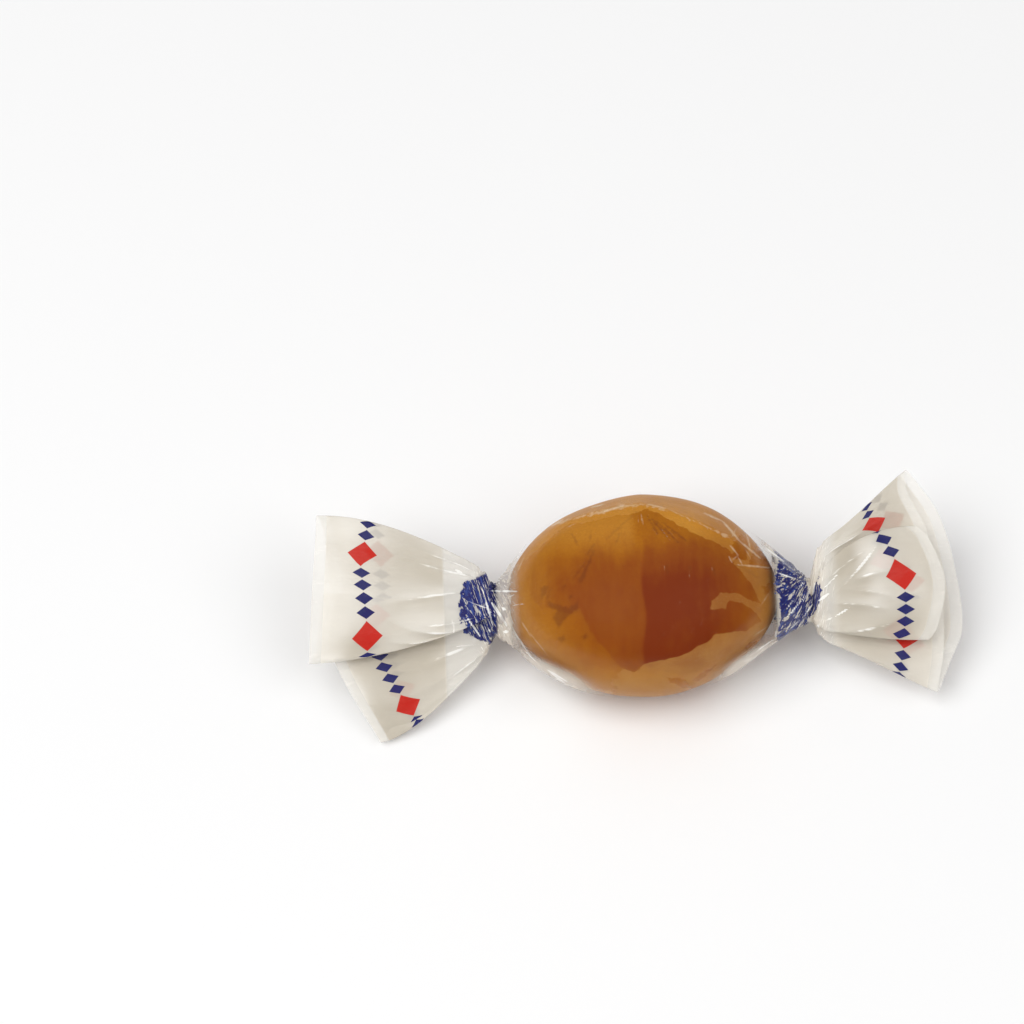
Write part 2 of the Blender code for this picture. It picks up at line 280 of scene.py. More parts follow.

# Dark marks in the caramel's face, mostly painted shade of fine creases and ripples, one a
# scratch: outlines, and lines as (x, rise) of both ends, half width
SHADE_AND_SCRATCH_MARKS = (
    ((-10.2, 0.1), (-10.1, 1.2), (-9.3, 1.5), (-9.6, 0.7)),
    ((-9.6, 0.0), (-8.6, -0.4), (-7.4, -0.7), (-6.5, -0.1), (-6.5, -0.9), (-7.7, -1.7),
     (-8.5, -2.7), (-9.0, -1.7), (-8.6, -1.0), (-9.4, -0.6)),
    ((-8.6, -3.7), (-8.0, -3.4), (-7.8, -3.9), (-8.3, -4.2)),
    ((-6.3, -3.6), (-5.7, -3.2), (-5.6, -3.7), (-6.1, -4.0)),
    ((-6.4, 1.7), (-4.9, 4.8), (-4.6, 4.9), (-6.0, 1.7)),
)
SHADE_AND_SCRATCH_LINES = (
    (-0.4, 8.5, -3.5, 5.9, 0.03), (0.7, 8.0, 1.6, 6.3, 0.04), (1.1, 7.8, 2.6, 5.9, 0.05),
    (1.5, 7.6, 3.6, 5.4, 0.04), (2.2, 7.4, 4.4, 5.5, 0.03), (-6.9, 6.6, -6.3, 5.4, 0.05),
    (2.3, 3.3, 2.4, 2.3, 0.03), (4.6, 3.2, 4.7, 2.4, 0.03), (7.0, 3.0, 7.1, 2.2, 0.03),
    (-5.5, 4.4, -4.7, 5.4, 0.04), (-4.9, 6.9, -5.1, 5.8, 0.02), (-2.6, 5.4, -2.0, 6.6, 0.02),
    (9.0, 3.1, 11.2, 2.1, 0.03), (10.1, 2.4, 11.6, 1.6, 0.03), (10.4, -4.9, 12.2, -3.9, 0.04),
    (-10.2, 0.4, -9.7, 1.5, 0.05), (-9.6, 0.0, -9.1, 1.2, 0.04), (-6.9, 2.1, -5.5, 3.9, 0.02),
    (-8.0, 1.0, -7.7, 1.6, 0.04), (-7.3, 0.2, -7.0, 0.6, 0.04), (-6.4, 1.8, -5.1, 3.9, 0.05),
)

# The rim along the top of its face, as (x, rise)
RIM = (
    (-9.7, 6.9), (-8.4, 7.6), (-7.1, 7.9), (-5.5, 8.3), (-3.9, 8.6), (-1.9, 9.1), (0.3, 9.2),
    (2.7, 8.5), (5.0, 7.6), (7.2, 6.5), (9.5, 5.3),
)

# Painted highlights: pale strokes where the film is crumpled over the caramel: (x, rise) of both
# ends, half width
HIGHLIGHT_STROKES = (
    (-6.9, 8.5, -5.2, 9.3, 0.06), (-5.0, 9.1, -3.4, 9.4, 0.04), (-3.9, 8.6, -1.6, 9.2, 0.06),
    (0.6, 9.3, 2.6, 8.8, 0.03), (6.4, 8.2, 8.3, 7.3, 0.05), (8.3, 7.3, 9.8, 5.3, 0.08),
    (9.8, 5.3, 11.9, 3.5, 0.06), (8.8, 4.9, 9.6, 3.9, 0.04), (9.3, 3.0, 13.2, 2.5, 0.03),
    (10.6, 6.1, 10.9, 4.4, 0.04), (9.0, -6.4, 12.4, -4.4, 0.0), (10.6, -4.3, 12.9, -3.0, 0.0),
    (-8.2, -6.6, -5.6, -8.9, 0.02), (4.5, 3.1, 4.6, 1.6, -0.05), (6.2, 2.3, 6.5, 0.3, -0.06),
    (-12.4, -1.5, -11.2, -3.6, 0.0), (-12.6, 2.4, -11.6, 4.6, 0.0), (9.6, 6.6, 9.0, 5.7, 0.03),
    (11.3, 5.2, 12.2, 4.6, 0.03), (-8.8, 7.4, -7.6, 8.0, 0.04), (-0.3, 8.5, -0.2, 7.2, -0.04),
    (-7.4, 7.2, -6.3, 7.6, -0.02), (2.6, 8.8, 4.4, 7.9, -0.02), (10.2, 4.8, 10.9, 3.4, -0.02),
    (2.1, 3.3, 2.2, 2.3, -0.03), (6.8, 3.0, 6.9, 2.3, -0.03), (1.6, -4.0, 2.1, -3.0, -0.04),
    (2.3, -3.9, 2.9, -2.6, -0.05), (3.3, -1.0, 3.8, 0.2, -0.05), (5.2, -3.3, 5.9, -2.0, -0.04),
    (4.4, -3.8, 4.9, -2.9, -0.05), (0.9, -4.9, 1.2, -4.2, -0.05), (0.1, 8.3, 0.2, 7.2, 0.02),
    (1.9, 6.9, 2.9, 5.5, -0.04), (2.5, 6.8, 3.9, 5.3, -0.05), (1.0, 7.0, 1.7, 5.9, -0.05),
    (8.6, 3.9, 8.9, 3.2, 0.02), (8.9, 3.4, 9.5, 3.9, 0.02), (9.5, 3.8, 10.0, 2.9, 0.02),
    (-11.9, -2.4, -9.5, -5.6, -0.02), (-7.0, -7.6, -4.6, -9.6, 0.0), (11.6, -1.2, 12.6, 0.1, 0.0),
)

# Painted highlights: bright lines on the film at the necks and the caramel's ends, in the same
# way
FILM_HIGHLIGHTS = (
    (-15.1, 1.1, -12.5, 1.0, 0.07), (-15.0, -0.1, -13.6, -2.4, 0.12),
    (-15.7, 0.4, -15.0, -2.3, 0.07), (-13.2, -0.4, -11.3, -0.2, 0.01),
    (-13.9, -3.0, -13.5, -3.0, 0.14), (-14.2, -3.6, -10.6, -7.0, 0.03),
    (-13.3, -2.4, -11.0, -6.0, 0.02), (-12.9, 3.6, -11.2, 6.0, 0.03),
    (-14.0, -0.6, -13.7, -0.8, 0.10), (-17.8, 0.3, -15.6, -0.6, 0.04),
    (-17.6, -1.4, -16.2, -3.6, 0.05), (-19.0, -1.5, -18.9, -3.0, 0.07),
    (-18.6, 3.3, -17.9, 3.0, 0.07), (-18.9, -4.4, -16.6, -4.2, 0.03),
    (-10.2, -6.6, -7.6, -8.6, 0.02), (17.6, -0.9, 18.6, -0.2, 0.09),
    (18.2, -2.9, 18.9, -2.6, 0.09), (19.2, -2.5, 20.6, -1.7, 0.06), (13.3, 2.1, 16.0, 1.1, 0.04),
    (14.2, -2.5, 16.1, -0.5, 0.04), (14.1, -1.8, 15.1, -0.5, 0.04), (15.4, 0.2, 16.2, 1.1, 0.04),
    (17.0, -0.3, 17.3, 0.9, 0.05), (14.5, -3.7, 15.6, -2.8, 0.05), (18.0, 0.2, 19.6, 1.7, 0.04),
    (13.2, -3.6, 13.0, -4.6, 0.04), (11.9, 5.0, 14.4, 3.0, 0.03), (10.2, -6.3, 13.2, -4.4, 0.02),
    (16.2, -2.2, 17.0, -1.2, 0.04), (12.9, -2.0, 13.5, -2.6, 0.05),
    (-10.9, -6.1, -6.3, -9.1, 0.02), (-12.4, -4.4, -10.1, -6.8, 0.0),
)

FAR = 50.0  # stands for "nowhere near", in millimetres

# The stage. The photograph is PICTURE_WIDTH millimetres across at the sweet, whose middle
# lies so far to the right of the picture's and below it.
PICTURE_WIDTH = 102.4
RIGHT_OF_MIDDLE = 13.0
BELOW_MIDDLE = 8.5
SENSOR_WIDTH = 36.0
SKY_STRENGTH = (0.16, 0.42)  # near the horizon and overhead
LAMPS = (  # name, place and diameter in metres, power in watts
    ("key", (-0.30, -0.15, 0.65), 0.60, 3.4),
    ("fill", (0.45, -0.20, 0.60), 0.60, 1.6),
)


# Shapes


def section_radius(across, up):
    """Superellipse: distance from the axis to the flank in the unit direction (across, up).

    It is the sum of both shares of the half axes, each raised to a power, to that root."""
    flank = np.abs(across / (CARAMEL_WIDTH / 2)) ** SECTION_POWER
    crown = np.abs(up / (CARAMEL_HEIGHT / 2)) ** SECTION_POWER
    return (flank + crown) ** (-1 / SECTION_POWER)


def surface_relief(x, across, up):
    """Low swells from two crossed waves, a roof-like ridge at x = 0, and one full shoulder."""
    swells = np.sin(0.42 * x + 2.1 * across) * np.cos(0.33 * x - 2.7 * up + 0.8)
    crest = np.sqrt((x / RIDGE_REACH) ** 2 + 0.0001)
    ridge = np.clip(1 - crest, 0, None) * np.clip(0.25 + up, 0, 1)
    facing = np.clip(across * math.sin(LEAN) + up * math.cos(LEAN), 0, 1)
    shoulder = facing * np.exp(-(((x - SHOULDER_AT) / SHOULDER_REACH) ** 2))
    return UNEVENNESS * swells + RIDGE_HEIGHT * ridge + SHOULDER * shoulder


def axis_height():
    """Height of the sweet's axis over the table."""
    return CARAMEL_HEIGHT / 2 + FILM_GAP + FILM_THICKNESS - FOOT_DEPTH


def direction(angle):
    """Unit direction (across, up) round the axis: 0 is the rise, a quarter turn the front."""
    return np.sin(LEAN - angle), np.cos(LEAN - angle)


def face_place(points):
    """(rise, front) of points whose last axis is (x, y, z), seen from the sweet's axis."""
    y, z = points[..., 1], points[..., 2] - axis_height()
    rise = y * math.sin(LEAN) + z * math.cos(LEAN)
    front = -y * math.cos(LEAN) + z * math.sin(LEAN)
    return rise, front


def smooth_step(value, low, high):
    """Cubic ramp from 0 at low to 1 at high."""
    t = np.clip((value - low) / (high - low), 0, 1)
    return t * t * (3 - 2 * t)


def to_segment(x, y, ax, ay, bx, by):
    """Share of the way along a segment of its point nearest to each (x, y), and how far off
    that is."""
    dx, dy = bx - ax, by - ay
    along = np.clip(((x - ax) * dx + (y - ay) * dy) / (dx * dx + dy * dy), 0, 1)
    return along, np.hypot(x - ax - along * dx, y - ay - along * dy)


def nearest_segment(x, y, corners, closed):
    """Distance from each (x, y) to a chain of corners, measured to its nearest segment."""
    best = np.full(x.shape, FAR)
    for start, stop in zip(corners, corners[1:] + (corners[:1] if closed else ())):
        best = np.minimum(best, to_segment(x, y, *start, *stop)[1])
    return best


def stroke_depth(x, y, strokes):
    """How far each (x, y) lies inside the nearest stroke, a line that narrows to its ends."""
    best = np.full(x.shape, -FAR)
    for *ends, half_width in strokes:
        along, gap = to_segment(x, y, *ends)
        narrowing = STROKE_NARROWING * (2 * along - 1) ** 2
        best = np.maximum(best, half_width - narrowing - gap)
    return best


def inside_distance(x, y, corners):
    """Signed distance to a closed outline, positive inside, by the even-odd rule."""
    inside = np.zeros(x.shape, dtype=bool)
    for (ax, ay), (bx, by) in zip(corners, corners[1:] + corners[:1]):
        if ay == by:
            continue
        crosses = (ay > y) != (by > y)
        inside ^= crosses & (x < ax + (y - ay) * (bx - ax) / (by - ay))
    return np.where(inside, 1, -1) * nearest_segment(x, y, corners, True)


def skirt(x, angle):
    """1 along the two lower flanks near the ends, where the film stands off the caramel."""
    low_side = smooth_step(-np.cos(angle), 0.55, 0.92)
    return low_side * sum(np.exp(-(((x - at) / reach) ** 2)) for at, reach in SKIRTS)


def rim_relief(x, rise, front):
    """A low crest along the rim, and a bevel that falls away on its far side."""
    line_x, line_rise = np.array(RIM).T
    above = rise - np.interp(x, line_x, line_rise)
    near = nearest_segment(x, rise, RIM, False)
    ends = smooth_step(x, -11.5, -8.0) * (1 - smooth_step(x, 8.0, 11.5))
    crest = RIM_CREST * np.exp(-((near / RIM_CREST_REACH) ** 2))
    bevel = RIM_BEVEL * smooth_step(above, 0.0, 2.2)
    return (crest - bevel) * ends * smooth_step(front, -1.0, 2.0)


def caramel_surface(rings, segments):
    """The boiled sweet on a grid: a superellipse drawn out along X as a blunt spindle.

    Every ring stands at x = -L/2 cos(polar). Its radius is the section's times sin(polar) **
    END_POWER, plus the swell, the relief and the rim, less the skirts, and a flat foot cuts
    it off. Returns the rings and both poles."""
    polar = np.linspace(0, math.pi, rings + 2)[1:-1, None]
    angle = np.linspace(0, 2 * math.pi, segments, endpoint=False)[None, :]
    across, up = direction(angle)
    x = -CARAMEL_LENGTH / 2 * np.cos(polar) + 0 * angle
    taper = np.sin(polar)
    radius = section_radius(across, up) * taper**END_POWER + SWELL * np.sqrt(taper)
    radius = radius + taper * surface_relief(x, across, up)
    points = np.stack([x, radius * across, axis_height() + radius * up], axis=-1)
    rise, front = face_place(points)
    radius = radius + rim_relief(x, rise, front) - SKIRT_DEPTH * skirt(x, angle)
    floor = FILM_GAP + FILM_THICKNESS - SWELL
    height = np.maximum(axis_height() + radius * up, floor)
    points = np.stack([x, radius * across, height], axis=-1)
    poles = np.array([[-1, 0, 0], [1, 0, 0]]) * (CARAMEL_LENGTH / 2) + [0, 0, axis_height()]
    return points, poles


def closed_curve(knots, field, columns):
    """Smooth closed curve through one field of a fan's knots: cubic pieces that share slopes.

    A knot's slope is that of the line from the knot before it to the knot after it."""
    at = np.array([knot[0] for knot in knots])
    value = np.array([knot[field] for knot in knots])
    before, after = np.roll(at, 1), np.roll(at, -1)
    before[0] -= COLUMNS
    after[-1] += COLUMNS
    slope = (np.roll(value, -1) - np.roll(value, 1)) / (after - before)
    first = np.searchsorted(at, columns, side="right") - 1
    second = (first + 1) % len(at)
    width = after[first] - at[first]
    t = (columns - at[first]) / width
    start = (1 + 2 * t) * (1 - t) ** 2 * value[first] + t * (1 - t) ** 2 * width * slope[first]
    end = t * t * (3 - 2 * t) * value[second] - t * t * (1 - t) * width * slope[second]
    return start + end


def sharp_wave(phase):
    """A wave from -1 to 1 with pointed crests and round troughs."""
    return 1 - 2 * np.abs(np.sin(phase / 2)) ** 0.8


def pleat_wave(angle):
    """Uneven pointed pleats round a neck, from the sum of three sharp waves."""
    main = sharp_wave(8 * angle)
    second = sharp_wave(13 * angle + 1.3)
    third = sharp_wave(23 * angle + 0.4)
    return 0.50 * main + 0.32 * second + 0.18 * third


def neck_pleats(angle, distance, twist):
    """The pleats' wave at a signed distance from the waist, turned by the twist."""
    return pleat_wave(angle - twist * np.tanh(distance / TWIST_REACH))


def ring_at(radii, angle, distance, settings):
    """(rise, front) of the pleated neck: an ellipse whose pleats turn with the distance."""
    fade = np.exp(-np.abs(distance) / PLEAT_FADE)
    wave = 1 + settings.pleat_depth * fade * neck_pleats(angle, distance, settings.twist)
    return radii[0] * wave * np.cos(angle), radii[1] * wave * np.sin(angle)


def round_tube(columns, column):
    """Columns counted from one of them, the short way round the tube."""
    return (columns - column + COLUMNS / 2) % COLUMNS - COLUMNS / 2


def crease_relief(creases, share, columns):
    """Sum of narrow pointed ridges, each along a straight line of the unrolled fan.

    Returns the relief, the thin lines along the ridges that are painted as highlights, and a
    painted tone of light and shade that is light before each line and dark after it, as on
    the two sides of a fold."""
    relief = np.zeros(np.broadcast(share, columns).shape)
    lines, sides = np.zeros(relief.shape), np.zeros(relief.shape)
    for start, stop, low, high, width, height in creases:
        off = round_tube(columns, start + (stop - start) * share) / width
        along = np.sin(math.pi * np.clip((share - low) / (high - low), 0, 1))
        relief += height * np.exp(-np.abs(off)) * along**1.2
        # Painted highlight: a thin bright line along the ridge
        lines += np.exp(-((off / 0.6) ** 2)) * along**0.8
        # Painted light and shade: lighter before the line, darker after it
        sides += -np.tanh(off / 0.5) * np.exp(-np.abs(off) / 3.5) * along
    return relief, lines, sides


def tone_zones(tones, share, columns):
    """Sum of soft round zones of the unrolled fan."""
    total = np.zeros(np.broadcast(share, columns).shape)
    for column, middle, column_radius, share_radius, strength in tones:
        off = round_tube(columns, column) / column_radius
        total += strength * np.exp(-(off**2) - ((share - middle) / share_radius) ** 2)
    return total


def fan_sheet(side, shares, columns, settings):
    """One fan: its open edge drawn in towards the waist, row by row.

    Reach is gained evenly, and rise and front by powers of the share that is still left,
    while the neck's ring dies away. Waves, folds, creases and tones then move the front.
    Returns the points, their reach from the waist, the length from there to the edge, and
    how much painted highlight each point has and how light its painted tone is."""
    own = SIDES[side]
    angle = 2 * math.pi * columns / COLUMNS
    edge_reach, edge_rise, edge_front, gain = (
        closed_curve(own.edge, field, columns)[None, :] for field in (1, 2, 3, 4)
    )
    share = shares[:, None]
    left = 1 - share
    missing = 1 - own.jump * (1 - np.exp(-share / JUMP_REACH))
    reach = edge_reach * share
    ring_rise, ring_front = ring_at(own.radii, angle, -reach, settings)
    rise = edge_rise * (1 - missing * left**gain) + ring_rise * left**RISE_FADE
    front = edge_front * (1 - left**FRONT_GAIN) + ring_front * left**FRONT_FADE
    front = front + own.tilt * rise * share
    front = front + FAN_WAVE * share * left**2 * np.cos(9 * angle + 0.7)
    folds = WIDE_FOLDS * sharp_wave(14 * angle + 2.0)
    folds = folds + FINE_FOLDS * sharp_wave(25 * angle + 4 * share)
    front = front + settings.fold_height * folds * share * left * 2
    relief, lines, sides = crease_relief(own.creases, share, columns)
    zones = tone_zones(own.tones, share, columns)
    front = front + settings.crease_height * (relief + 0.5 * zones)
    pleats = neck_pleats(angle, -reach, settings.twist)
    near = np.exp(-reach / PLEAT_SHINE)
    # Painted highlights on the crease lines and on the pleats' crests near the waist
    glint = np.clip(0.9 * lines + 1.3 * np.clip(pleats, 0, 1) ** 2 * near, 0, 1)
    # Painted light and shade: the tone zones, the two sides of each crease, and shade in the
    # pleats' hollows near the waist
    tone = zones + 0.45 * sides - 0.35 * np.clip(-pleats, 0, 1) * near
    y = rise * math.sin(LEAN) - front * math.cos(LEAN) + NECK_SINK[0]
    z = rise * math.cos(LEAN) + front * math.sin(LEAN) + NECK_SINK[1] + axis_height()
    points = np.stack([side * (own.waist + reach), y, z], axis=-1)
    return points, reach, np.hypot(edge_reach, edge_rise), glint, tone


def film_section(angle):
    """Direction round the axis, half length of the film over the caramel, and its radius."""
    across, up = direction(angle)
    length = CARAMEL_LENGTH / 2 + FILM_GAP + FILM_THICKNESS
    return across, up, length, section_radius(across, up) + FILM_GAP + FILM_THICKNESS


def film_on_sweet(x, radius, across, up, waist):
    """Points of film at a distance from the axis, sunk towards the waist's own middle."""
    share = np.clip(np.abs(x) / waist, 0, 1) ** NECK_SINK_POWER
    height = axis_height() + radius * up + NECK_SINK[1] * share
    return np.stack([x, radius * across + NECK_SINK[0] * share, np.maximum(height, 0)], axis=-1)


def flank_standing(x, angle):
    """1 along the low flanks' outline, where film stands off the caramel in full view."""
    return smooth_step(-np.cos(angle), 0.68, 0.93) * np.clip(1.4 * skirt(x, angle), 0, 1)


def clinging_share(x, radius, angle):
    """1 where the film's radius is near the caramel's, down to 0 where it stands well off.

    Over the caramel's tips it stays clear in front and behind, less so on the left."""
    taper = np.sqrt(np.clip(1 - (2 * x / CARAMEL_LENGTH) ** 2, 0, 1))
    gap = radius - section_radius(*direction(angle)) * taper**END_POWER
    over_tip = smooth_step(np.abs(np.sin(angle)), 0.25, 0.55)
    over_tip = over_tip * (1 - smooth_step(np.abs(x), 12.9, 13.7)) * np.where(x < 0, 0.45, 0.93)
    share = np.maximum(1 - smooth_step(gap, 0.9, 2.3), over_tip)
    share = np.minimum(share, 1 - 0.42 * smooth_step(-x, 11.8, 12.9))
    return np.minimum(share, 1 - flank_standing(x, angle))


def cone_pucker(angle, share):
    """Wave of the wrinkles that run from a waist onto the caramel, from -1.6 to 1.6."""
    return sharp_wave(9 * angle + 2.2 * share) + 0.6 * sharp_wave(16 * angle - 3 * share)


def cone_sheet(side, shares, columns, settings):
    """The film from a waist to the caramel: straight lines that just meet its ellipse.

    Returns the points, how far in from the waist each is, the place on the ellipse where
    they meet it, and how closely the film clings and how much it glints."""
    waist, radii = SIDES[side].waist, SIDES[side].radii
    angle = 2 * math.pi * columns / COLUMNS
    across, up, length, body_radius = film_section(angle)
    waist_radius = np.hypot(radii[0] * np.cos(angle), radii[1] * np.sin(angle))
    along, out = waist / length, waist_radius / body_radius
    meet = np.arctan2(out, along) + np.arccos(1 / np.hypot(along, out))
    share = shares[:, None]
    x = waist + (length * np.cos(meet) - waist) * share
    rise, front = ring_at(radii, angle, waist - x, settings)
    radius = np.hypot(rise, front) * (1 - share) + body_radius * np.sin(meet) * share
    pucker = cone_pucker(angle, share)
    radius = radius + PUCKER * pucker * share * (1 - share) * 4
    pleat = np.clip(neck_pleats(angle, waist - x, settings.twist), 0, 1) ** 2
    # Painted highlights on the wrinkles' crests and the pleats near the waist
    glint = np.clip(pucker - 0.5, 0, 1) * share * (1 - share) * 3 + pleat * (1 - share) ** 2
    clinging = clinging_share(side * x, radius, angle)
    glint = np.maximum(glint, FLANK_GLINT * flank_standing(side * x, angle))
    return film_on_sweet(side * x, radius, across, up, waist), waist - x, meet, clinging, glint


def body_sheet(rows, columns, meets):
    """The film over the caramel: the caramel's own form, a little larger, with its relief.

    Returns the points, how closely the film clings and how much it glints."""
    angle = 2 * math.pi * columns / COLUMNS
    across, up, length, body_radius = film_section(angle)
    share = np.linspace(0, 1, rows)[:, None]
    along = math.pi - meets[0] + (meets[1] - math.pi + meets[0]) * share
    x = length * np.cos(along)
    waist = np.where(x < 0, SIDES[-1].waist, SIDES[1].waist)
    fade = np.sin(math.pi * share)
    relief = surface_relief(x, across, up)
    plain = film_on_sweet(x, body_radius * np.sin(along) + relief, across, up, waist)
    rise, front = face_place(plain)
    radius = body_radius * np.sin(along) + relief + fade * rim_relief(x, rise, front)
    from_end = share * (1 - share) * 4
    wrinkle = np.clip(cone_pucker(angle, 1 + 2 * from_end) - 0.55, 0, 1) * np.exp(-4.5 * from_end)
    radius = radius + BODY_WRINKLE * wrinkle * np.sqrt(from_end)
    on_sweet = clinging_share(x, body_radius * np.sin(along), angle)
    # Painted highlights on the wrinkles' ends and on the film that stands off the low flanks
    glint = np.maximum(0.75 * wrinkle, FLANK_GLINT * flank_standing(x, angle))
    return film_on_sweet(x, radius, across, up, waist), on_sweet, glint


def beyond_fans(shape):
    """The fields that only a fan has, as they are on the rest of the film."""
    return {
        "edge_gap": np.full(shape, FAR),
        "share": np.zeros(shape),
        "edge_length": np.ones(shape),
        "tone": np.zeros(shape),
    }


def side_sheets(side, columns, settings):
    """The fields of one side's fan and of its cone, and where that meets the caramel."""
    shares = (np.arange(settings.fan_rows, 0, -1) / settings.fan_rows) ** FAN_CROWDING
    cone_shares = np.linspace(0, 1, settings.cone_rows, endpoint=False) ** CONE_CROWDING
    points, reach, edge_length, glint, tone = fan_sheet(side, shares, columns, settings)
    share = np.broadcast_to(shares[:, None], reach.shape)
    fan = {
        "points": points,
        "out": reach,
        "edge_gap": (1 - share) * edge_length,
        "share": share,
        "edge_length": edge_length + 0 * reach,
        "tone": tone,
        "on_sweet": -smooth_step(reach, 0, 2.5),
        "glint": glint,
    }
    points, inwards, meet, clinging, glint = cone_sheet(side, cone_shares, columns, settings)
    cone = {"points": points, "out": -inwards, "on_sweet": clinging, "glint": glint}
    return fan, {**cone, **beyond_fans(inwards.shape)}, meet


def whole_sheet(settings):
    """The film from the left fan's open edge to the right fan's.

    Returns its columns and, by name, its points and how far out of the waist, how far from
    the open edge and how much on the caramel each is, with its share of the fan, its glint
    and tone, and whether it is on the left."""
    columns = np.arange(settings.columns) * COLUMNS / settings.columns
    left_fan, left_cone, left_meet = side_sheets(-1, columns, settings)
    right_fan, right_cone, right_meet = side_sheets(1, columns, settings)
    points, clinging, glint = body_sheet(settings.body_rows, columns, (left_meet, right_meet))
    shape = clinging.shape
    body = {"points": points, "out": np.full(shape, -FAR), "on_sweet": clinging, "glint": glint}
    body.update(beyond_fans(shape))
    sheet = {
        key: np.concatenate([
            left_fan[key], left_cone[key], body[key], right_cone[key][::-1], right_fan[key][::-1]
        ])
        for key in body
    }
    sheet["left"] = np.zeros(sheet["out"].shape, dtype=bool)
    sheet["left"][: len(sheet["out"]) // 2] = True
    return columns, sheet


def sheet_offset(points):
    """Shift that lays the sheet on the frame's wrapper, in millimetres.

    Its right edge is put on the wrapper's, and so is its middle from front to back."""
    low, high = (np.array(corner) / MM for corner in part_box("wrapper"))
    flat = points.reshape(-1, 3)
    shift = (low + high) / 2 - (flat.min(axis=0) + flat.max(axis=0)) / 2
    shift[0] = high[0] - flat[:, 0].max()
    shift[2] = 0.0
    return shift


# Fields for the materials


def clinging_depth(x, rise, front, face):
    """How far each place lies inside where the film clings: the outlines on the face, with
    a seam across them, and crossed waves behind."""
    clinging = inside_distance(x, rise, CLINGING)
    seam = np.exp(-(((x + 3.2) / 1.2) ** 2)) * smooth_step(-rise, 6.9, 7.7)
    clinging = clinging * (1 - 0.88 * seam)
    for outline in SMALL_CLINGING:
        clinging = np.maximum(clinging, 0.6 * inside_distance(x, rise, outline))
    behind = np.sin(0.55 * x + 1.0 + 0.9 * np.sin(0.6 * rise)) * np.cos(0.45 * rise + 0.4)
    behind = 0.35 + behind + 0.45 * np.sin(1.25 * x - 0.9 * rise) * np.cos(0.8 * front)
    return clinging * face + behind * (1 - face)


def mark_depth(x, rise):
    """How far each place lies inside the nearest dark mark or line: painted shade, and a scratch.
    """
    best = stroke_depth(x, rise, SHADE_AND_SCRATCH_LINES) + 0.05
    for outline in SHADE_AND_SCRATCH_MARKS:
        best = np.maximum(best, inside_distance(x, rise, outline))
    return best


def crumple_glint_depth(x, rise):
    """How far each place lies inside the crumpled band on the rim, painted as a highlight, whose
    width wavers.
    """
    half_width = 0.07 + 0.10 * np.sin(1.3 * x + 0.5) * np.sin(0.7 * x - 1.0)
    return half_width - 0.05 * smooth_step(x, 0.0, 4.0) - nearest_segment(x, rise, RIM, False)


def caramel_thickness_and_shade(x, rise, face):
    """How thick the caramel looks, with painted light and shade across a wavy fold: most on
    its right, painted darker as the side turned from the light, less on its left, painted
    lighter as the lit side, less towards the ends, the top and the low edge, and behind in
    one soft round zone."""
    # Painted light and shade: the left of this fold is lit and lighter, its right darker
    fold = x + 0.20 * np.sin(0.9 * rise)
    right = 1 - 0.75 * smooth_step(x, 5.0, 12.5)
    left = 0.60 - 0.26 * smooth_step(-x, 2.0, 11.0)
    thick = right + (left - right) * smooth_step(-fold, -0.25, 0.30)
    thick = thick * (1 - 0.95 * smooth_step(rise, 0.8, 8.2))
    thick = thick * (1 - 0.85 * smooth_step(-rise, 6.2, 8.2))
    back_thick = 0.75 * np.exp(-((x / 9.0) ** 2) - (rise / 7.0) ** 2)
    return face * thick + (1 - face) * back_thick


def veil_share(x, rise, outline):
    """How milky the film makes the left half: low and high near the outline, and the tip."""
    low_left = smooth_step(-x, -0.5, 3.5) * smooth_step(-rise, -2.0, 3.0)
    high_left = smooth_step(-x, 0.2, 1.4) * smooth_step(rise, 3.8, 7.2)
    veil = low_left * smooth_step(outline, 0.54, 1.0) + 0.75 * high_left
    far_left = smooth_step(-x, 8.0, 11.5) * smooth_step(rise, -2.0, 1.0)
    tip = smooth_step(-x, 10.8, 13.2)
    return np.clip(veil + 0.5 * far_left + 0.7 * tip, 0, 1)


def caramel_fields(points):
    """The numbers that the caramel's material reads, for points from the sweet's axis.

    The face's own marks are left off the back. Outline is 0 on the axis and 1 where the
    caramel's outline is."""
    x = points[:, 0]
    rise, front = face_place(points)
    face = smooth_step(front, -2.5, 0.5)
    outline = np.hypot(x / (CARAMEL_LENGTH / 2), rise / FACE_HALF_RISE)
    right_end = smooth_step(x, 5.0, 8.0) * smooth_step(rise, -4.0, -1.5)
    return {
        "clinging": clinging_depth(x, rise, front, face),
        # Dark marks: mostly painted shade of fine creases, one a scratch
        "shade_and_scratches": np.where(front > 0, mark_depth(x, rise), -FAR),
        # Painted highlight along the crumpled rim
        "crumple_glint": np.where(front > 0, crumple_glint_depth(x, rise), -FAR),
        "deep": inside_distance(x, rise, DEEP) + FAR * (front < 0),
        # Painted highlights in strokes of crumpled film
        "strokes": np.where(front > 0, stroke_depth(x, rise, HIGHLIGHT_STROKES) + 0.03, -FAR),
        # Thickness, with painted light and shade on the two sides of the fold
        "depth": caramel_thickness_and_shade(x, rise, face),
        "edge": smooth_step(outline, 0.80, 1.0) * (1 - 0.8 * smooth_step(x, 11.4, 12.6)),
        "veil": veil_share(x, rise, outline),
        "milkiness": 1 - 0.38 * right_end,
        "upper": smooth_step(rise, 1.0, 7.0),
    }


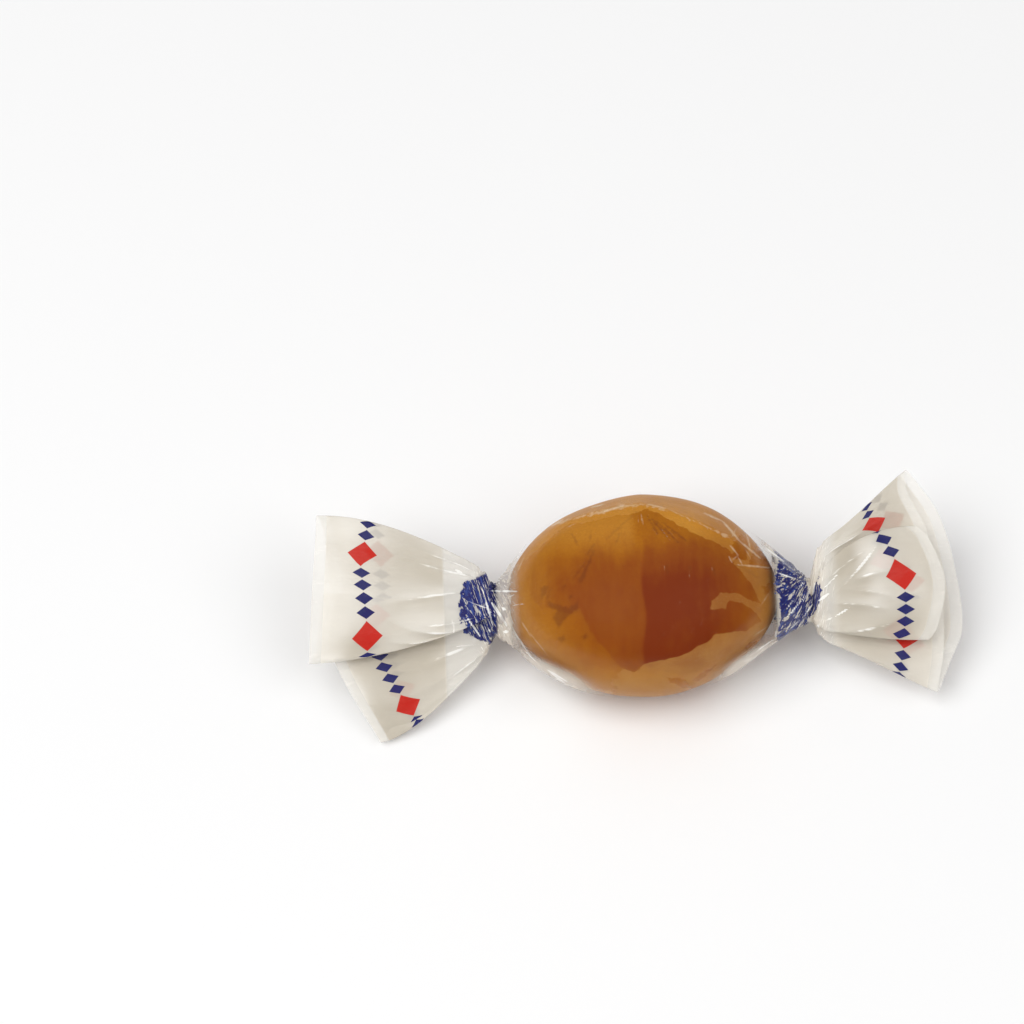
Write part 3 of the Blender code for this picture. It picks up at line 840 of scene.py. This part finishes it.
def neck_band(left, out, angle, rise):
    """How far each place lies inside its neck's band of print, whose edges waver."""
    front_bump = 1.4 * np.exp(-(((angle - 1.8) / 0.45) ** 2))
    outer = np.where(left, 3.1 + 0.45 * np.cos(4.4 * (angle - 1.0)), -0.4 + front_bump)
    faded = 1.3 * smooth_step(np.cos(angle - 1.0), 0.2, 0.8)
    inner = np.where(left, -0.2 - faded, -3.5 + 0.2 * np.sin(4 * angle))
    band = np.minimum(outer - out, out - inner)
    return np.where(left, np.minimum(band, 3.9 - 0.45 * out - np.abs(rise + 0.6)), band)


def film_fields(sheet, angle):
    """The numbers that the film's material reads, one for each point of the sheet."""
    left, out, gap = sheet["left"], sheet["out"], sheet["edge_gap"]
    inner_gap = np.where(left, 0.5 * (out - 5.0), 0.10 * (out - 2.2))
    rise, front = face_place(sheet["points"])
    # Painted highlights along the film's bright lines, on its front
    bright = smooth_step(stroke_depth(sheet["points"][..., 0], rise, FILM_HIGHLIGHTS), -0.10, 0.0)
    bright = bright * smooth_step(front, -0.9, -0.4)
    return {
        "panel": np.where(gap < FAR, np.minimum(gap - BORDER, inner_gap), -FAR),
        "band": neck_band(left, out, angle, rise),
        "ink": np.where(left, 1 - 0.65 * smooth_step(-out, 0.1, 0.5), 1.0),
        "on_sweet": sheet["on_sweet"],
        "glint": np.maximum(sheet["glint"], 1.05 * bright),
        "tone": sheet["tone"],
    }


def turned_place(out, angle, twist):
    """A place that turns with the pleats: round a circle that grows from the waist, and
    along the neck."""
    turned = angle + twist * np.tanh(out / TWIST_REACH)
    near = np.clip(out, -NECK_REACH, NECK_REACH)
    girth = NECK_GIRTH * (1 + 0.3 * np.abs(near))
    return np.stack((girth * np.cos(turned), girth * np.sin(turned), near / 2.4), axis=-1)


def print_across(sheet, columns):
    """Distance of each point of the fans from the middle of its printed band."""
    rows = [np.interp(columns, *np.array(SIDES[side].print_row).T) for side in (-1, 1)]
    across = (sheet["share"] - np.where(sheet["left"], *rows)) * sheet["edge_length"]
    return np.where(sheet["edge_gap"] < FAR, across, FAR)


# Meshes


def grid_mesh(name, points, poles=None):
    """A tube of quads from points of shape (rows, columns, 3), capped if it has poles.

    Returns the mesh and, for each corner of each face, its row and its column, where the
    column goes on past the last one instead of back to 0."""
    rows, columns = points.shape[:2]
    row, column = np.meshgrid(np.arange(rows - 1), np.arange(columns), indexing="ij")
    row, column = row.ravel(), column.ravel()
    corner_rows = np.stack([row, row, row + 1, row + 1], axis=1)
    corner_columns = np.stack([column, column + 1, column + 1, column], axis=1)
    vertices = points.reshape(-1, 3)
    corners = (corner_rows * columns + corner_columns % columns).ravel()
    totals = np.full(len(corner_rows), 4)
    corner_rows, corner_columns = corner_rows.ravel(), corner_columns.ravel()
    if poles is not None:
        first = np.arange(columns)
        for pole, ring in ((0, 0), (1, rows - 1)):
            index = np.full(columns, len(vertices) + pole)
            around = (ring * columns + first, ring * columns + (first + 1) % columns)
            cap = np.stack((index, *(around if pole else around[::-1])), axis=1)
            corners = np.concatenate([corners, cap.ravel()])
            totals = np.concatenate([totals, np.full(columns, 3)])
            corner_rows = np.concatenate([corner_rows, np.full(3 * columns, ring)])
            corner_columns = np.concatenate([corner_columns, np.repeat(first, 3)])
        vertices = np.concatenate([vertices, poles])
    mesh = bpy.data.meshes.new(name)
    mesh.vertices.add(len(vertices))
    mesh.vertices.foreach_set("co", (vertices * MM).astype(np.float32).ravel())
    mesh.loops.add(len(corners))
    mesh.loops.foreach_set("vertex_index", corners.astype(np.int32))
    mesh.polygons.add(len(totals))
    starts = np.concatenate([[0], np.cumsum(totals)[:-1]])
    mesh.polygons.foreach_set("loop_start", starts.astype(np.int32))
    mesh.update(calc_edges=True)
    mesh.validate()
    mesh.shade_smooth()
    return mesh, corner_rows, corner_columns


def point_attributes(mesh, fields):
    """Numbers for each vertex, by name, for the materials to read."""
    for name, values in fields.items():
        stored = mesh.attributes.new(name, "FLOAT", "POINT")
        stored.data.foreach_set("value", values.astype(np.float32).ravel())


def place_attribute(mesh, name, values):
    """Three numbers for each vertex, for the materials to read as a place."""
    stored = mesh.attributes.new(name, "FLOAT_VECTOR", "POINT")
    stored.data.foreach_set("vector", values.astype(np.float32).ravel())


def corner_uv(mesh, name, u, v):
    """A UV map from one pair of numbers for each corner."""
    layer = mesh.uv_layers.new(name=name)
    pairs = np.stack([u, v], axis=1).astype(np.float32)
    layer.data.foreach_set("uv", pairs.ravel())


def place_piece(name, mesh, material, node):
    """Adds the piece to the scene, on the frame's body, in place of its CAD node."""
    piece = bpy.data.objects.new(name, mesh)
    piece.data.materials.append(material)
    bpy.context.scene.collection.objects.link(piece)
    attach(piece, "root")
    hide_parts(node)


# Materials


def set_inputs(tree, node, inputs):
    """Sets or links a node's inputs, given by name or number."""
    for key, value in inputs.items():
        if isinstance(value, bpy.types.NodeSocket):
            tree.links.new(value, node.inputs[key])
        else:
            node.inputs[key].default_value = value


def add_node(tree, kind, inputs=None, **settings):
    """A node with its settings made and its inputs set or linked."""
    node = tree.nodes.new(kind)
    for name, value in settings.items():
        setattr(node, name, value)
    set_inputs(tree, node, inputs or {})
    return node


def maths(tree, operation, first, second=0.0, third=0.0, clamp=False):
    """The result of one Math node."""
    inputs = {0: first, 1: second, 2: third}
    node = add_node(tree, "ShaderNodeMath", inputs, operation=operation, use_clamp=clamp)
    return node.outputs[0]


def times(tree, first, second):
    """The product of two values."""
    return maths(tree, "MULTIPLY", first, second)


def sway(tree, value, height, pattern):
    """A value moved up and down by a noise: value + height (pattern - 0.5)."""
    return maths(tree, "MULTIPLY_ADD", maths(tree, "SUBTRACT", pattern, 0.5), height, value)


def ramp(tree, value, low, high, start=0.0, stop=1.0):
    """A value eased from start to stop while it goes from low to high."""
    inputs = {"Value": value, "From Min": low, "From Max": high, "To Min": start, "To Max": stop}
    node = add_node(tree, "ShaderNodeMapRange", inputs, interpolation_type="SMOOTHSTEP")
    return node.outputs["Result"]


def mix_colour(tree, factor, first, second):
    """Two colours blended by a factor. A plain colour gets an alpha of 1."""
    sides = [c if isinstance(c, bpy.types.NodeSocket) else (*c, 1.0) for c in (first, second)]
    inputs = {0: factor, 6: sides[0], 7: sides[1]}
    return add_node(tree, "ShaderNodeMix", inputs, data_type="RGBA").outputs[2]


def tint(tree, colour, mask, share, other):
    """A colour blended with another one by a share of a mask."""
    return mix_colour(tree, times(tree, mask, share), colour, other)


def attribute(tree, name):
    """A number stored on the mesh."""
    node = add_node(tree, "ShaderNodeAttribute", attribute_name=name)
    return node.outputs["Fac"]


def uv_parts(tree, name):
    """The two numbers of a UV map."""
    node = add_node(tree, "ShaderNodeUVMap", uv_map=name)
    parts = add_node(tree, "ShaderNodeSeparateXYZ", {0: node.outputs["UV"]})
    return parts.outputs["X"], parts.outputs["Y"]


def noise(tree, scale, detail=3.0, roughness=0.55, stretch=None):
    """Noise on Object coordinates. Scale is in features for each metre."""
    place = add_node(tree, "ShaderNodeTexCoord").outputs["Object"]
    if stretch:
        mapping = add_node(tree, "ShaderNodeMapping", {"Vector": place, "Scale": stretch})
        place = mapping.outputs["Vector"]
    inputs = {"Vector": place, "Scale": scale, "Detail": detail, "Roughness": roughness}
    return add_node(tree, "ShaderNodeTexNoise", inputs).outputs["Fac"]


def neck_place(tree):
    """The place on the necks that turns with their pleats."""
    return add_node(tree, "ShaderNodeAttribute", attribute_name="neck_place").outputs["Vector"]


def neck_noise(tree, scale, detail, start=(0.0, 0.0, 0.0), stretch=(1.0, 1.0, 1.0)):
    """Noise that turns with the necks' pleats. Scale is in features for each millimetre."""
    moved = {"Vector": neck_place(tree), "Location": start, "Scale": stretch}
    place = add_node(tree, "ShaderNodeMapping", moved).outputs["Vector"]
    inputs = {"Vector": place, "Scale": scale, "Detail": detail, "Roughness": 0.6}
    return add_node(tree, "ShaderNodeTexNoise", inputs).outputs["Fac"]


def bumpy(tree, height, strength, distance):
    """The normal of a surface roughened by a height, over a distance in metres."""
    inputs = {"Height": height, "Strength": strength, "Distance": distance}
    return add_node(tree, "ShaderNodeBump", inputs).outputs["Normal"]


def ragged_mask_group():
    """Node group: 1 where a signed distance is positive, with an edge that a noise roughens.

    Four times the noise's swing times the raggedness is added to the distance, which is
    then eased from 0 to 1 between minus and plus the softness."""
    name = "ragged_mask"
    if name in bpy.data.node_groups:
        return bpy.data.node_groups[name]
    group = bpy.data.node_groups.new(name, "ShaderNodeTree")
    sockets = (("Distance", 0.0), ("Raggedness", 0.2), ("Grain", 900.0), ("Softness", 0.05))
    for label, default in sockets:
        socket = group.interface.new_socket(label, in_out="INPUT", socket_type="NodeSocketFloat")
        socket.default_value = default
    group.interface.new_socket("Mask", in_out="OUTPUT", socket_type="NodeSocketFloat")
    given = group.nodes.new("NodeGroupInput").outputs
    result = group.nodes.new("NodeGroupOutput")
    grain = noise(group, given["Grain"], detail=4.0, roughness=0.65)
    wander = times(group, maths(group, "SUBTRACT", grain, 0.5), given["Raggedness"])
    moved = maths(group, "MULTIPLY_ADD", wander, 4.0, given["Distance"])
    low = times(group, given["Softness"], -1.0)
    mask = ramp(group, moved, low, given["Softness"])
    group.links.new(mask, result.inputs["Mask"])
    return group


def ragged_mask(tree, distance, raggedness, grain, softness):
    """The ragged mask in one material, with that material's own values."""
    node = add_node(tree, "ShaderNodeGroup", node_tree=ragged_mask_group())
    values = {"Raggedness": raggedness, "Grain": grain, "Softness": softness}
    set_inputs(tree, node, {"Distance": distance, **values})
    return node.outputs["Mask"]


def new_material(name):
    """A material with a bare Principled shader. Returns it, its tree and the shader."""
    material = bpy.data.materials.new(name)
    material.use_nodes = True
    tree = material.node_tree
    return material, tree, tree.nodes["Principled BSDF"]


def caramel_colour(tree, settings, lift):
    """Gold, middle and deep caramel by its thickness and painted shade, hazed where the film
    stands off, partly as painted reflection.

    Dark marks, mostly painted shade of fine creases and one a scratch, darken it, painted
    highlights on crumpled film and strokes lighten it, and a fine grain is over all."""
    # Thickness with painted shade, swayed by noise
    depth = sway(tree, attribute(tree, "depth"), 0.48, noise(tree, 260.0))
    grazes = noise(tree, 900.0, detail=2.0, stretch=(1.0, 0.25, 0.5))
    depth = sway(tree, depth, 0.42, grazes)
    inside = ragged_mask(tree, attribute(tree, "deep"), 0.17, 1500.0, 0.12)
    depth = times(tree, depth, ramp(tree, inside, 0.0, 1.0, 0.62, 1.0))
    body = mix_colour(tree, ramp(tree, depth, 0.05, 0.55), settings.gold, settings.middle)
    body = mix_colour(tree, ramp(tree, depth, 0.50, 1.0), body, settings.deep)
    # Dark marks: mostly painted shade of fine creases and ripples, one a scratch
    shade_and_scratches = ragged_mask(tree, attribute(tree, "shade_and_scratches"), 0.16, 2600.0, 0.16)
    body = tint(tree, body, shade_and_scratches, 0.62, settings.shade_and_scratch)
    # Haze where the film stands off: the film's milkiness over the air, partly painted reflection
    # of its gloss
    milky = times(tree, lift, ramp(tree, noise(tree, 420.0), 0.3, 0.7, 0.46, 0.60))
    milky = times(tree, milky, attribute(tree, "milkiness"))
    milky = maths(tree, "MAXIMUM", milky, times(tree, attribute(tree, "edge"), 0.26))
    milky = maths(tree, "MAXIMUM", milky, times(tree, attribute(tree, "veil"), 0.52))
    haze_and_reflection = mix_colour(tree, attribute(tree, "upper"), settings.haze_and_reflection, settings.upper_haze_and_reflection)
    colour = mix_colour(tree, milky, body, haze_and_reflection)
    # Painted highlight along the crumpled film of the rim
    crumple_glint = ragged_mask(tree, attribute(tree, "crumple_glint"), 0.30, 1700.0, 0.10)
    colour = tint(tree, colour, crumple_glint, 0.38, settings.stroke)
    # Painted highlights: strokes of crumpled film
    strokes = ragged_mask(tree, attribute(tree, "strokes"), 0.06, 2600.0, 0.09)
    colour = tint(tree, colour, strokes, 0.56, settings.stroke)
    grain = ramp(tree, noise(tree, 4200.0), 0.3, 0.7, 0.0, 0.16)
    return mix_colour(tree, grain, colour, settings.deep)


def caramel_material(settings):
    """Boiled caramel: deep where the film clings to it, milky where air lies between."""
    material, tree, shader = new_material("boiled_caramel")
    clinging = ragged_mask(tree, attribute(tree, "clinging"), 0.17, 1300.0, 0.06)
    lift = maths(tree, "SUBTRACT", 1.0, clinging)
    fine = times(tree, noise(tree, 2400.0, detail=2.0), 0.25)
    height = maths(tree, "ADD", noise(tree, 520.0, detail=4.0), fine)
    set_inputs(tree, shader, {
        "Base Color": caramel_colour(tree, settings, lift),
        "Roughness": ramp(tree, lift, 0.0, 1.0, 0.20, 0.38),
        "Normal": bumpy(tree, height, 0.35, 0.00012),
        "Specular IOR Level": 0.16,
        "Subsurface Weight": 0.12,
        "Subsurface Radius": (1.0, 0.45, 0.12),
        "Subsurface Scale": 0.0022,
        "Coat Weight": 0.06,
        "Coat Roughness": 0.12,
    })
    return material


def lozenge(tree, along, across, half_width, half_height):
    """Mask of a lozenge round (0, 0), from the two distances to its middle."""
    first = maths(tree, "DIVIDE", maths(tree, "ABSOLUTE", along), half_width)
    second = maths(tree, "DIVIDE", maths(tree, "ABSOLUTE", across), half_height)
    return maths(tree, "SUBTRACT", 1.0, ramp(tree, maths(tree, "ADD", first, second), 0.95, 1.0))


def print_masks(tree):
    """Masks of the printed band: navy lozenges between larger red ones, and of the necks'
    bands of small broken navy pieces."""
    along, across = uv_parts(tree, "print_place")
    period = maths(tree, "DIVIDE", along, LOZENGE_PERIOD)
    away = maths(tree, "ABSOLUTE", maths(tree, "SUBTRACT", maths(tree, "FRACT", period), 0.5))
    away = times(tree, away, LOZENGE_PERIOD)
    red = lozenge(tree, away, across, *RED_LOZENGE)
    place = maths(tree, "DIVIDE", maths(tree, "SUBTRACT", away, NAVY_START), NAVY_PITCH)
    cell = maths(tree, "SUBTRACT", maths(tree, "FRACT", place), 0.5)
    navy = lozenge(tree, times(tree, cell, NAVY_PITCH), across, *NAVY_LOZENGE)
    begun = ramp(tree, away, NAVY_START - NAVY_BLUR, NAVY_START + NAVY_BLUR)
    navy = times(tree, navy, begun)
    pieces = ramp(tree, neck_noise(tree, 1.5, 3.0), 0.385, 0.43)
    bends = ramp(tree, neck_noise(tree, 3.4, 1.0, (0.0, 0.0, 7.0)), 0.31, 0.36)
    pieces = times(tree, times(tree, pieces, bends), attribute(tree, "ink"))
    band = ragged_mask(tree, attribute(tree, "band"), 0.42, 1500.0, 0.08)
    return navy, red, times(tree, pieces, band)


def neck_glint_streaks(tree):
    """Mask of thin painted highlights along the twisted pleats, that dies away from the waists.
    """
    along = add_node(tree, "ShaderNodeSeparateXYZ", {0: neck_place(tree)}).outputs["Z"]
    near = ramp(tree, maths(tree, "ABSOLUTE", along), 0.3, 1.2, 1.0, 0.0)
    lines = ramp(tree, neck_noise(tree, 4.6, 2.0, (3.0, 0.0, 0.0), (1.0, 1.0, 0.35)), 0.60, 0.68)
    return times(tree, lines, near)


def film_glints(tree):
    """Painted highlights: how much creases and pleats catch the light, broken up by a noise."""
    broken = ramp(tree, noise(tree, 500.0, detail=2.0), 0.35, 0.65, 0.55, 1.12)
    glint = ramp(tree, times(tree, attribute(tree, "glint"), broken), 0.35, 0.85)
    return maths(tree, "MAXIMUM", glint, neck_glint_streaks(tree))


def film_colour(tree, settings, panel, in_fan, prints, glint):
    """Bare film, milky panels in painted light and shade, then print, then painted highlights
    over all.
    """
    navy, red, pieces = prints
    # Painted light and shade of the milky panels, from their tone and a soft noise
    cloud = ramp(tree, noise(tree, 160.0, detail=2.0), 0.3, 0.7, -0.15, 0.15)
    tone = ramp(tree, maths(tree, "ADD", attribute(tree, "tone"), cloud), -0.75, 0.75)
    panel_colour = mix_colour(tree, tone, settings.panel_shade, settings.panel_light)
    bare_colour = mix_colour(tree, in_fan, settings.neck, settings.clear)
    colour = mix_colour(tree, panel, bare_colour, panel_colour)
    bluer = ramp(tree, neck_noise(tree, 2.4, 2.0, (0.0, 5.0, 0.0)), 0.48, 0.66, 0.0, 0.70)
    blue = tint(tree, settings.navy, bluer, pieces, settings.blue)
    colour = mix_colour(tree, maths(tree, "MAXIMUM", navy, pieces), colour, blue)
    colour = mix_colour(tree, red, colour, settings.red)
    # Painted highlights, in the glint colour
    return tint(tree, colour, glint, 0.85, settings.glint)


def film_alpha(tree, settings, panel, in_fan, prints, glint):
    """How much the film hides: least where it clings, more where it stands off, is seen
    at a slant or is streaked, more again in the panels and painted highlights, most in the print."""
    on_sweet = maths(tree, "MAXIMUM", attribute(tree, "on_sweet"), 0.0)
    bare = ramp(tree, on_sweet, 0.0, 1.0, settings.clear_alpha, settings.cling_alpha)
    bare = ramp(tree, in_fan, 0.0, 1.0, bare, settings.fan_alpha)
    facing = add_node(tree, "ShaderNodeLayerWeight", {"Blend": 0.25}).outputs["Facing"]
    slanted = times(tree, maths(tree, "POWER", facing, 2.5), 0.35)
    streaks = ramp(tree, noise(tree, 700.0, detail=4.0, stretch=(0.35, 1.0, 1.0)), 0.55, 0.75)
    denser = maths(tree, "MULTIPLY_ADD", streaks, 0.12, slanted)
    off_sweet = maths(tree, "SUBTRACT", 1.0, on_sweet)
    bare = maths(tree, "MULTIPLY_ADD", denser, off_sweet, bare)
    alpha = ramp(tree, panel, 0.0, 1.0, bare, settings.panel_alpha)
    alpha = maths(tree, "MULTIPLY_ADD", glint, 0.40, alpha, clamp=True)
    navy, red, pieces = prints
    printed = maths(tree, "MAXIMUM", maths(tree, "MAXIMUM", navy, red), pieces)
    return maths(tree, "MAXIMUM", alpha, times(tree, printed, 0.96))


def film_material(settings):
    """Clear film with a milky panel in each fan, and print in flat navy and red."""
    material, tree, shader = new_material("clear_film")
    panel = ragged_mask(tree, attribute(tree, "panel"), 0.0, 500.0, 0.08)
    in_fan = ramp(tree, attribute(tree, "on_sweet"), 0.0, -1.0)
    masks = (panel, in_fan, print_masks(tree), film_glints(tree))
    wide = noise(tree, 520.0, stretch=(0.22, 1.0, 1.0))
    fine = times(tree, noise(tree, 1500.0, detail=2.0), 0.2)
    set_inputs(tree, shader, {
        "Base Color": film_colour(tree, settings, *masks),
        "Alpha": film_alpha(tree, settings, *masks),
        "Roughness": ramp(tree, panel, 0.0, 1.0, 0.10, 0.24),
        "Normal": bumpy(tree, maths(tree, "ADD", wide, fine), 0.7, 0.0003),
    })
    return material


# Add-on


def colour_property(name, description, default):
    """A colour that the user can change."""
    return FloatVectorProperty(
        name=name, description=description, subtype="COLOR", size=3, min=0, max=1, default=default
    )


def share_property(name, description, default):
    """A share from 0 to 1 that the user can change."""
    return FloatProperty(
        name=name, description=description, subtype="FACTOR", min=0, max=1, default=default
    )


class CaramelSettings(PropertyGroup):
    """Fineness and colours of the caramel"""

    rings: IntProperty(name="Rings", description="Rings along the caramel", default=270)
    segments: IntProperty(name="Segments", description="Points in each ring", default=350)
    gold: colour_property("Gold", "Thin, light caramel at the sides", srgb(172, 104, 8))
    middle: colour_property("Middle", "Caramel between gold and deep", srgb(144, 72, 8))
    deep: colour_property("Deep", "Thick caramel in the middle", srgb(123, 44, 2))
    # Haze colours: the film's milkiness over air, partly painted reflection of its gloss
    haze_and_reflection: colour_property("Haze", "Milky look where the film stands off", srgb(194, 142, 68))
    upper_haze_and_reflection: colour_property("Upper haze", "The same towards the top", srgb(223, 159, 60))
    # Colour of the dark marks, mostly painted shade
    shade_and_scratch: colour_property("Speck", "Small dark marks in the surface", srgb(116, 58, 16))
    # Colour of the painted highlights on crumpled film
    stroke: colour_property("Stroke", "Crumpled film that catches the light", srgb(240, 222, 190))


class FilmSettings(PropertyGroup):
    """Fineness, pleats, colours and clearness of the film"""

    columns: IntProperty(name="Columns", description="Points round the tube", default=300)
    fan_rows: IntProperty(name="Fan rows", description="Rows of points in each fan", default=88)
    cone_rows: IntProperty(
        name="Cone rows", description="Rows from a waist to the caramel", default=36
    )
    body_rows: IntProperty(name="Body rows", description="Rows over the caramel", default=66)
    pleat_depth: FloatProperty(
        name="Pleat depth", description="Depth of the pleats as a share of the neck's radius",
        default=0.24, min=0, max=0.4
    )
    twist: FloatProperty(
        name="Twist", description="Turn of the pleats on each side of a waist",
        subtype="ANGLE", default=math.radians(120)
    )
    crease_height: FloatProperty(
        name="Crease height", description="Scale of the creases in the fans", default=1.0
    )
    fold_height: FloatProperty(
        name="Fold height", description="Scale of the soft folds in the fans", default=1.0
    )
    clear: colour_property("Clear film", "Tone of the bare film", srgb(247, 243, 234))
    # Colour of the painted highlights on the film
    glint: colour_property("Glint", "Creases that catch the light", srgb(255, 254, 250))
    # Both ends of the milky panels' painted light and shade
    panel_light: colour_property("Panel", "Milky panel in the fans", srgb(254, 249, 239))
    panel_shade: colour_property("Panel shade", "Its darker zones", srgb(212, 203, 186))
    navy: colour_property("Navy", "Dark blue of the print", srgb(32, 34, 98))
    blue: colour_property("Blue", "Lighter blue of the necks' print", srgb(54, 78, 152))
    red: colour_property("Red", "Red of the print", srgb(200, 36, 22))
    neck: colour_property("Neck film", "Tone of the clear film at the necks", srgb(252, 243, 228))
    clear_alpha: share_property("Clear film alpha", "Bare film that stands off", 0.60)
    fan_alpha: share_property("Fan alpha", "Bare film in the fans", 0.50)
    cling_alpha: share_property("Clinging alpha", "Film on the sweet", 0.006)
    panel_alpha: share_property("Panel alpha", "Milky panel", 0.72)


class StageSettings(PropertyGroup):
    """The floor and the camera"""

    floor_size: FloatProperty(
        name="Floor size", description="Width of the floor", default=3.0, unit="LENGTH"
    )
    floor_colour: colour_property("Floor", "Colour of the floor", srgb(250, 250, 250))
    camera_distance: FloatProperty(
        name="Camera distance", description="From the lens to the sweet", default=0.55,
        unit="LENGTH"
    )
    elevation: FloatProperty(
        name="Elevation", description="Height of the camera's view", subtype="ANGLE",
        default=math.radians(60)
    )
    roll: FloatProperty(
        name="Roll", description="Lean of the picture", subtype="ANGLE", default=math.radians(1.8)
    )


class CANDY_OT_caramel(Operator):
    """Build the boiled caramel"""

    bl_idname = "candy.caramel"
    bl_label = "Caramel"

    def execute(self, context):
        settings = context.scene.candy_caramel
        points, poles = caramel_surface(settings.rings, settings.segments)
        shift = sheet_offset(whole_sheet(context.scene.candy_film)[1]["points"])
        mesh, _, _ = grid_mesh("caramel_skin", points + shift, poles + shift)
        point_attributes(mesh, caramel_fields(np.concatenate([points.reshape(-1, 3), poles])))
        place_piece("caramel_skin", mesh, caramel_material(settings), "caramel")
        return {"FINISHED"}


class CANDY_OT_film(Operator):
    """Build the film: fans, necks and the part over the caramel"""

    bl_idname = "candy.film"
    bl_label = "Film wrapper"

    def execute(self, context):
        settings = context.scene.candy_film
        columns, sheet = whole_sheet(settings)
        points, out = sheet["points"], sheet["out"]
        mesh, rows, corner_columns = grid_mesh("film", points + sheet_offset(points))
        angle = 2 * math.pi * np.broadcast_to(columns, out.shape) / COLUMNS
        point_attributes(mesh, film_fields(sheet, angle))
        place_attribute(mesh, "neck_place", turned_place(out, angle, settings.twist))
        corner = rows * settings.columns + corner_columns % settings.columns
        along = corner_columns * COLUMNS / settings.columns
        corner_uv(mesh, "print_place", along, print_across(sheet, columns).ravel()[corner])
        place_piece("film", mesh, film_material(settings), "wrapper")
        return {"FINISHED"}


class CANDY_OT_stage(Operator):
    """Set the pale floor, the soft studio light and the camera"""

    bl_idname = "candy.stage"
    bl_label = "Stage"

    def execute(self, context):
        settings = context.scene.candy_stage
        half = settings.floor_size / 2
        floor_mesh = bpy.data.meshes.new("floor")
        corners = [(-half, -half, 0), (half, -half, 0), (half, half, 0), (-half, half, 0)]
        floor_mesh.from_pydata(corners, [], [(0, 1, 2, 3)])
        floor = bpy.data.objects.new("floor", floor_mesh)
        context.scene.collection.objects.link(floor)
        material, tree, shader = new_material("pale_floor")
        tone = ramp(tree, noise(tree, 3.0), 0.0, 1.0, 0.99, 1.0)
        colour = mix_colour(tree, tone, (0.0, 0.0, 0.0), settings.floor_colour)
        matt = {"Roughness": 0.9, "Specular IOR Level": 0.0}
        set_inputs(tree, shader, {"Base Color": colour, **matt})
        floor_mesh.materials.append(material)
        self.light_room(context)
        self.set_camera(context, settings)
        return {"FINISHED"}

    def light_room(self, context):
        """White surroundings, brighter overhead, with a large soft light on either side."""
        world = bpy.data.worlds.new("studio")
        context.scene.world = world
        world.use_nodes = True
        tree = world.node_tree
        heading = add_node(tree, "ShaderNodeTexCoord").outputs["Generated"]
        upward = add_node(tree, "ShaderNodeSeparateXYZ", {0: heading}).outputs["Z"]
        strength = ramp(tree, upward, 0.05, 0.9, *SKY_STRENGTH)
        white = (1.0, 1.0, 1.0, 1.0)
        set_inputs(tree, tree.nodes["Background"], {"Strength": strength, "Color": white})
        for name, place, size, power in LAMPS:
            lamp = bpy.data.lights.new(name, "AREA")
            lamp.shape = "DISK"
            lamp.size = size
            lamp.energy = power
            holder = bpy.data.objects.new(name, lamp)
            holder.location = place
            holder.rotation_euler = (-Vector(place)).to_track_quat("-Z", "Y").to_euler()
            holder.visible_glossy = False
            context.scene.collection.objects.link(holder)
        context.scene.view_settings.view_transform = "Standard"

    def set_camera(self, context, settings):
        """Looks down at the sweet, which lies right of the picture's middle and below it.

        The lens's length is the sensor times the distance over the picture's width."""
        shift = sheet_offset(whole_sheet(context.scene.candy_film)[1]["points"])
        sweet = Vector((shift[0], shift[1], shift[2] + axis_height())) * MM
        back = Vector((0, -math.cos(settings.elevation), math.sin(settings.elevation)))
        upright = Vector((0, math.sin(settings.elevation), math.cos(settings.elevation)))
        cos, sin = math.cos(settings.roll), math.sin(settings.roll)
        right = Vector((1, 0, 0)) * cos - upright * sin
        top = Vector((1, 0, 0)) * sin + upright * cos
        target = sweet - right * RIGHT_OF_MIDDLE * MM + top * BELOW_MIDDLE * MM
        camera = bpy.data.cameras.new("camera")
        camera.sensor_width = SENSOR_WIDTH
        camera.lens = SENSOR_WIDTH * settings.camera_distance / (PICTURE_WIDTH * MM)
        camera.clip_start = 0.01
        camera.clip_end = 10.0
        holder = bpy.data.objects.new("camera", camera)
        holder.matrix_world = Matrix.Translation(target + back * settings.camera_distance) @ (
            Matrix((right, top, back)).transposed().to_4x4()
        )
        context.scene.collection.objects.link(holder)
        context.scene.camera = holder


class CANDY_PT_panel(Panel):
    """Lists what builds each piece of the candy"""

    bl_idname = "CANDY_PT_panel"
    bl_label = "Caramel candy"
    bl_space_type = "VIEW_3D"
    bl_region_type = "UI"
    bl_category = "Caramel candy"

    def draw(self, context):
        for operator in OPERATORS:
            self.layout.operator(operator.bl_idname)


SETTINGS = (
    ("candy_caramel", CaramelSettings),
    ("candy_film", FilmSettings),
    ("candy_stage", StageSettings),
)
OPERATORS = (CANDY_OT_caramel, CANDY_OT_film, CANDY_OT_stage)


def register():
    """Adds the settings, the operators and the panel."""
    for name, group in SETTINGS:
        bpy.utils.register_class(group)
        setattr(bpy.types.Scene, name, PointerProperty(type=group))
    for operator in OPERATORS:
        bpy.utils.register_class(operator)
    bpy.utils.register_class(CANDY_PT_panel)


def unregister():
    """Takes them away again, last first."""
    bpy.utils.unregister_class(CANDY_PT_panel)
    for operator in reversed(OPERATORS):
        bpy.utils.unregister_class(operator)
    for name, group in reversed(SETTINGS):
        delattr(bpy.types.Scene, name)
        bpy.utils.unregister_class(group)


def main():
    register()
    bpy.ops.candy.caramel()
    bpy.ops.candy.film()
    bpy.ops.candy.stage()
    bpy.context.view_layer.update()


if __name__ == "__main__":
    main()
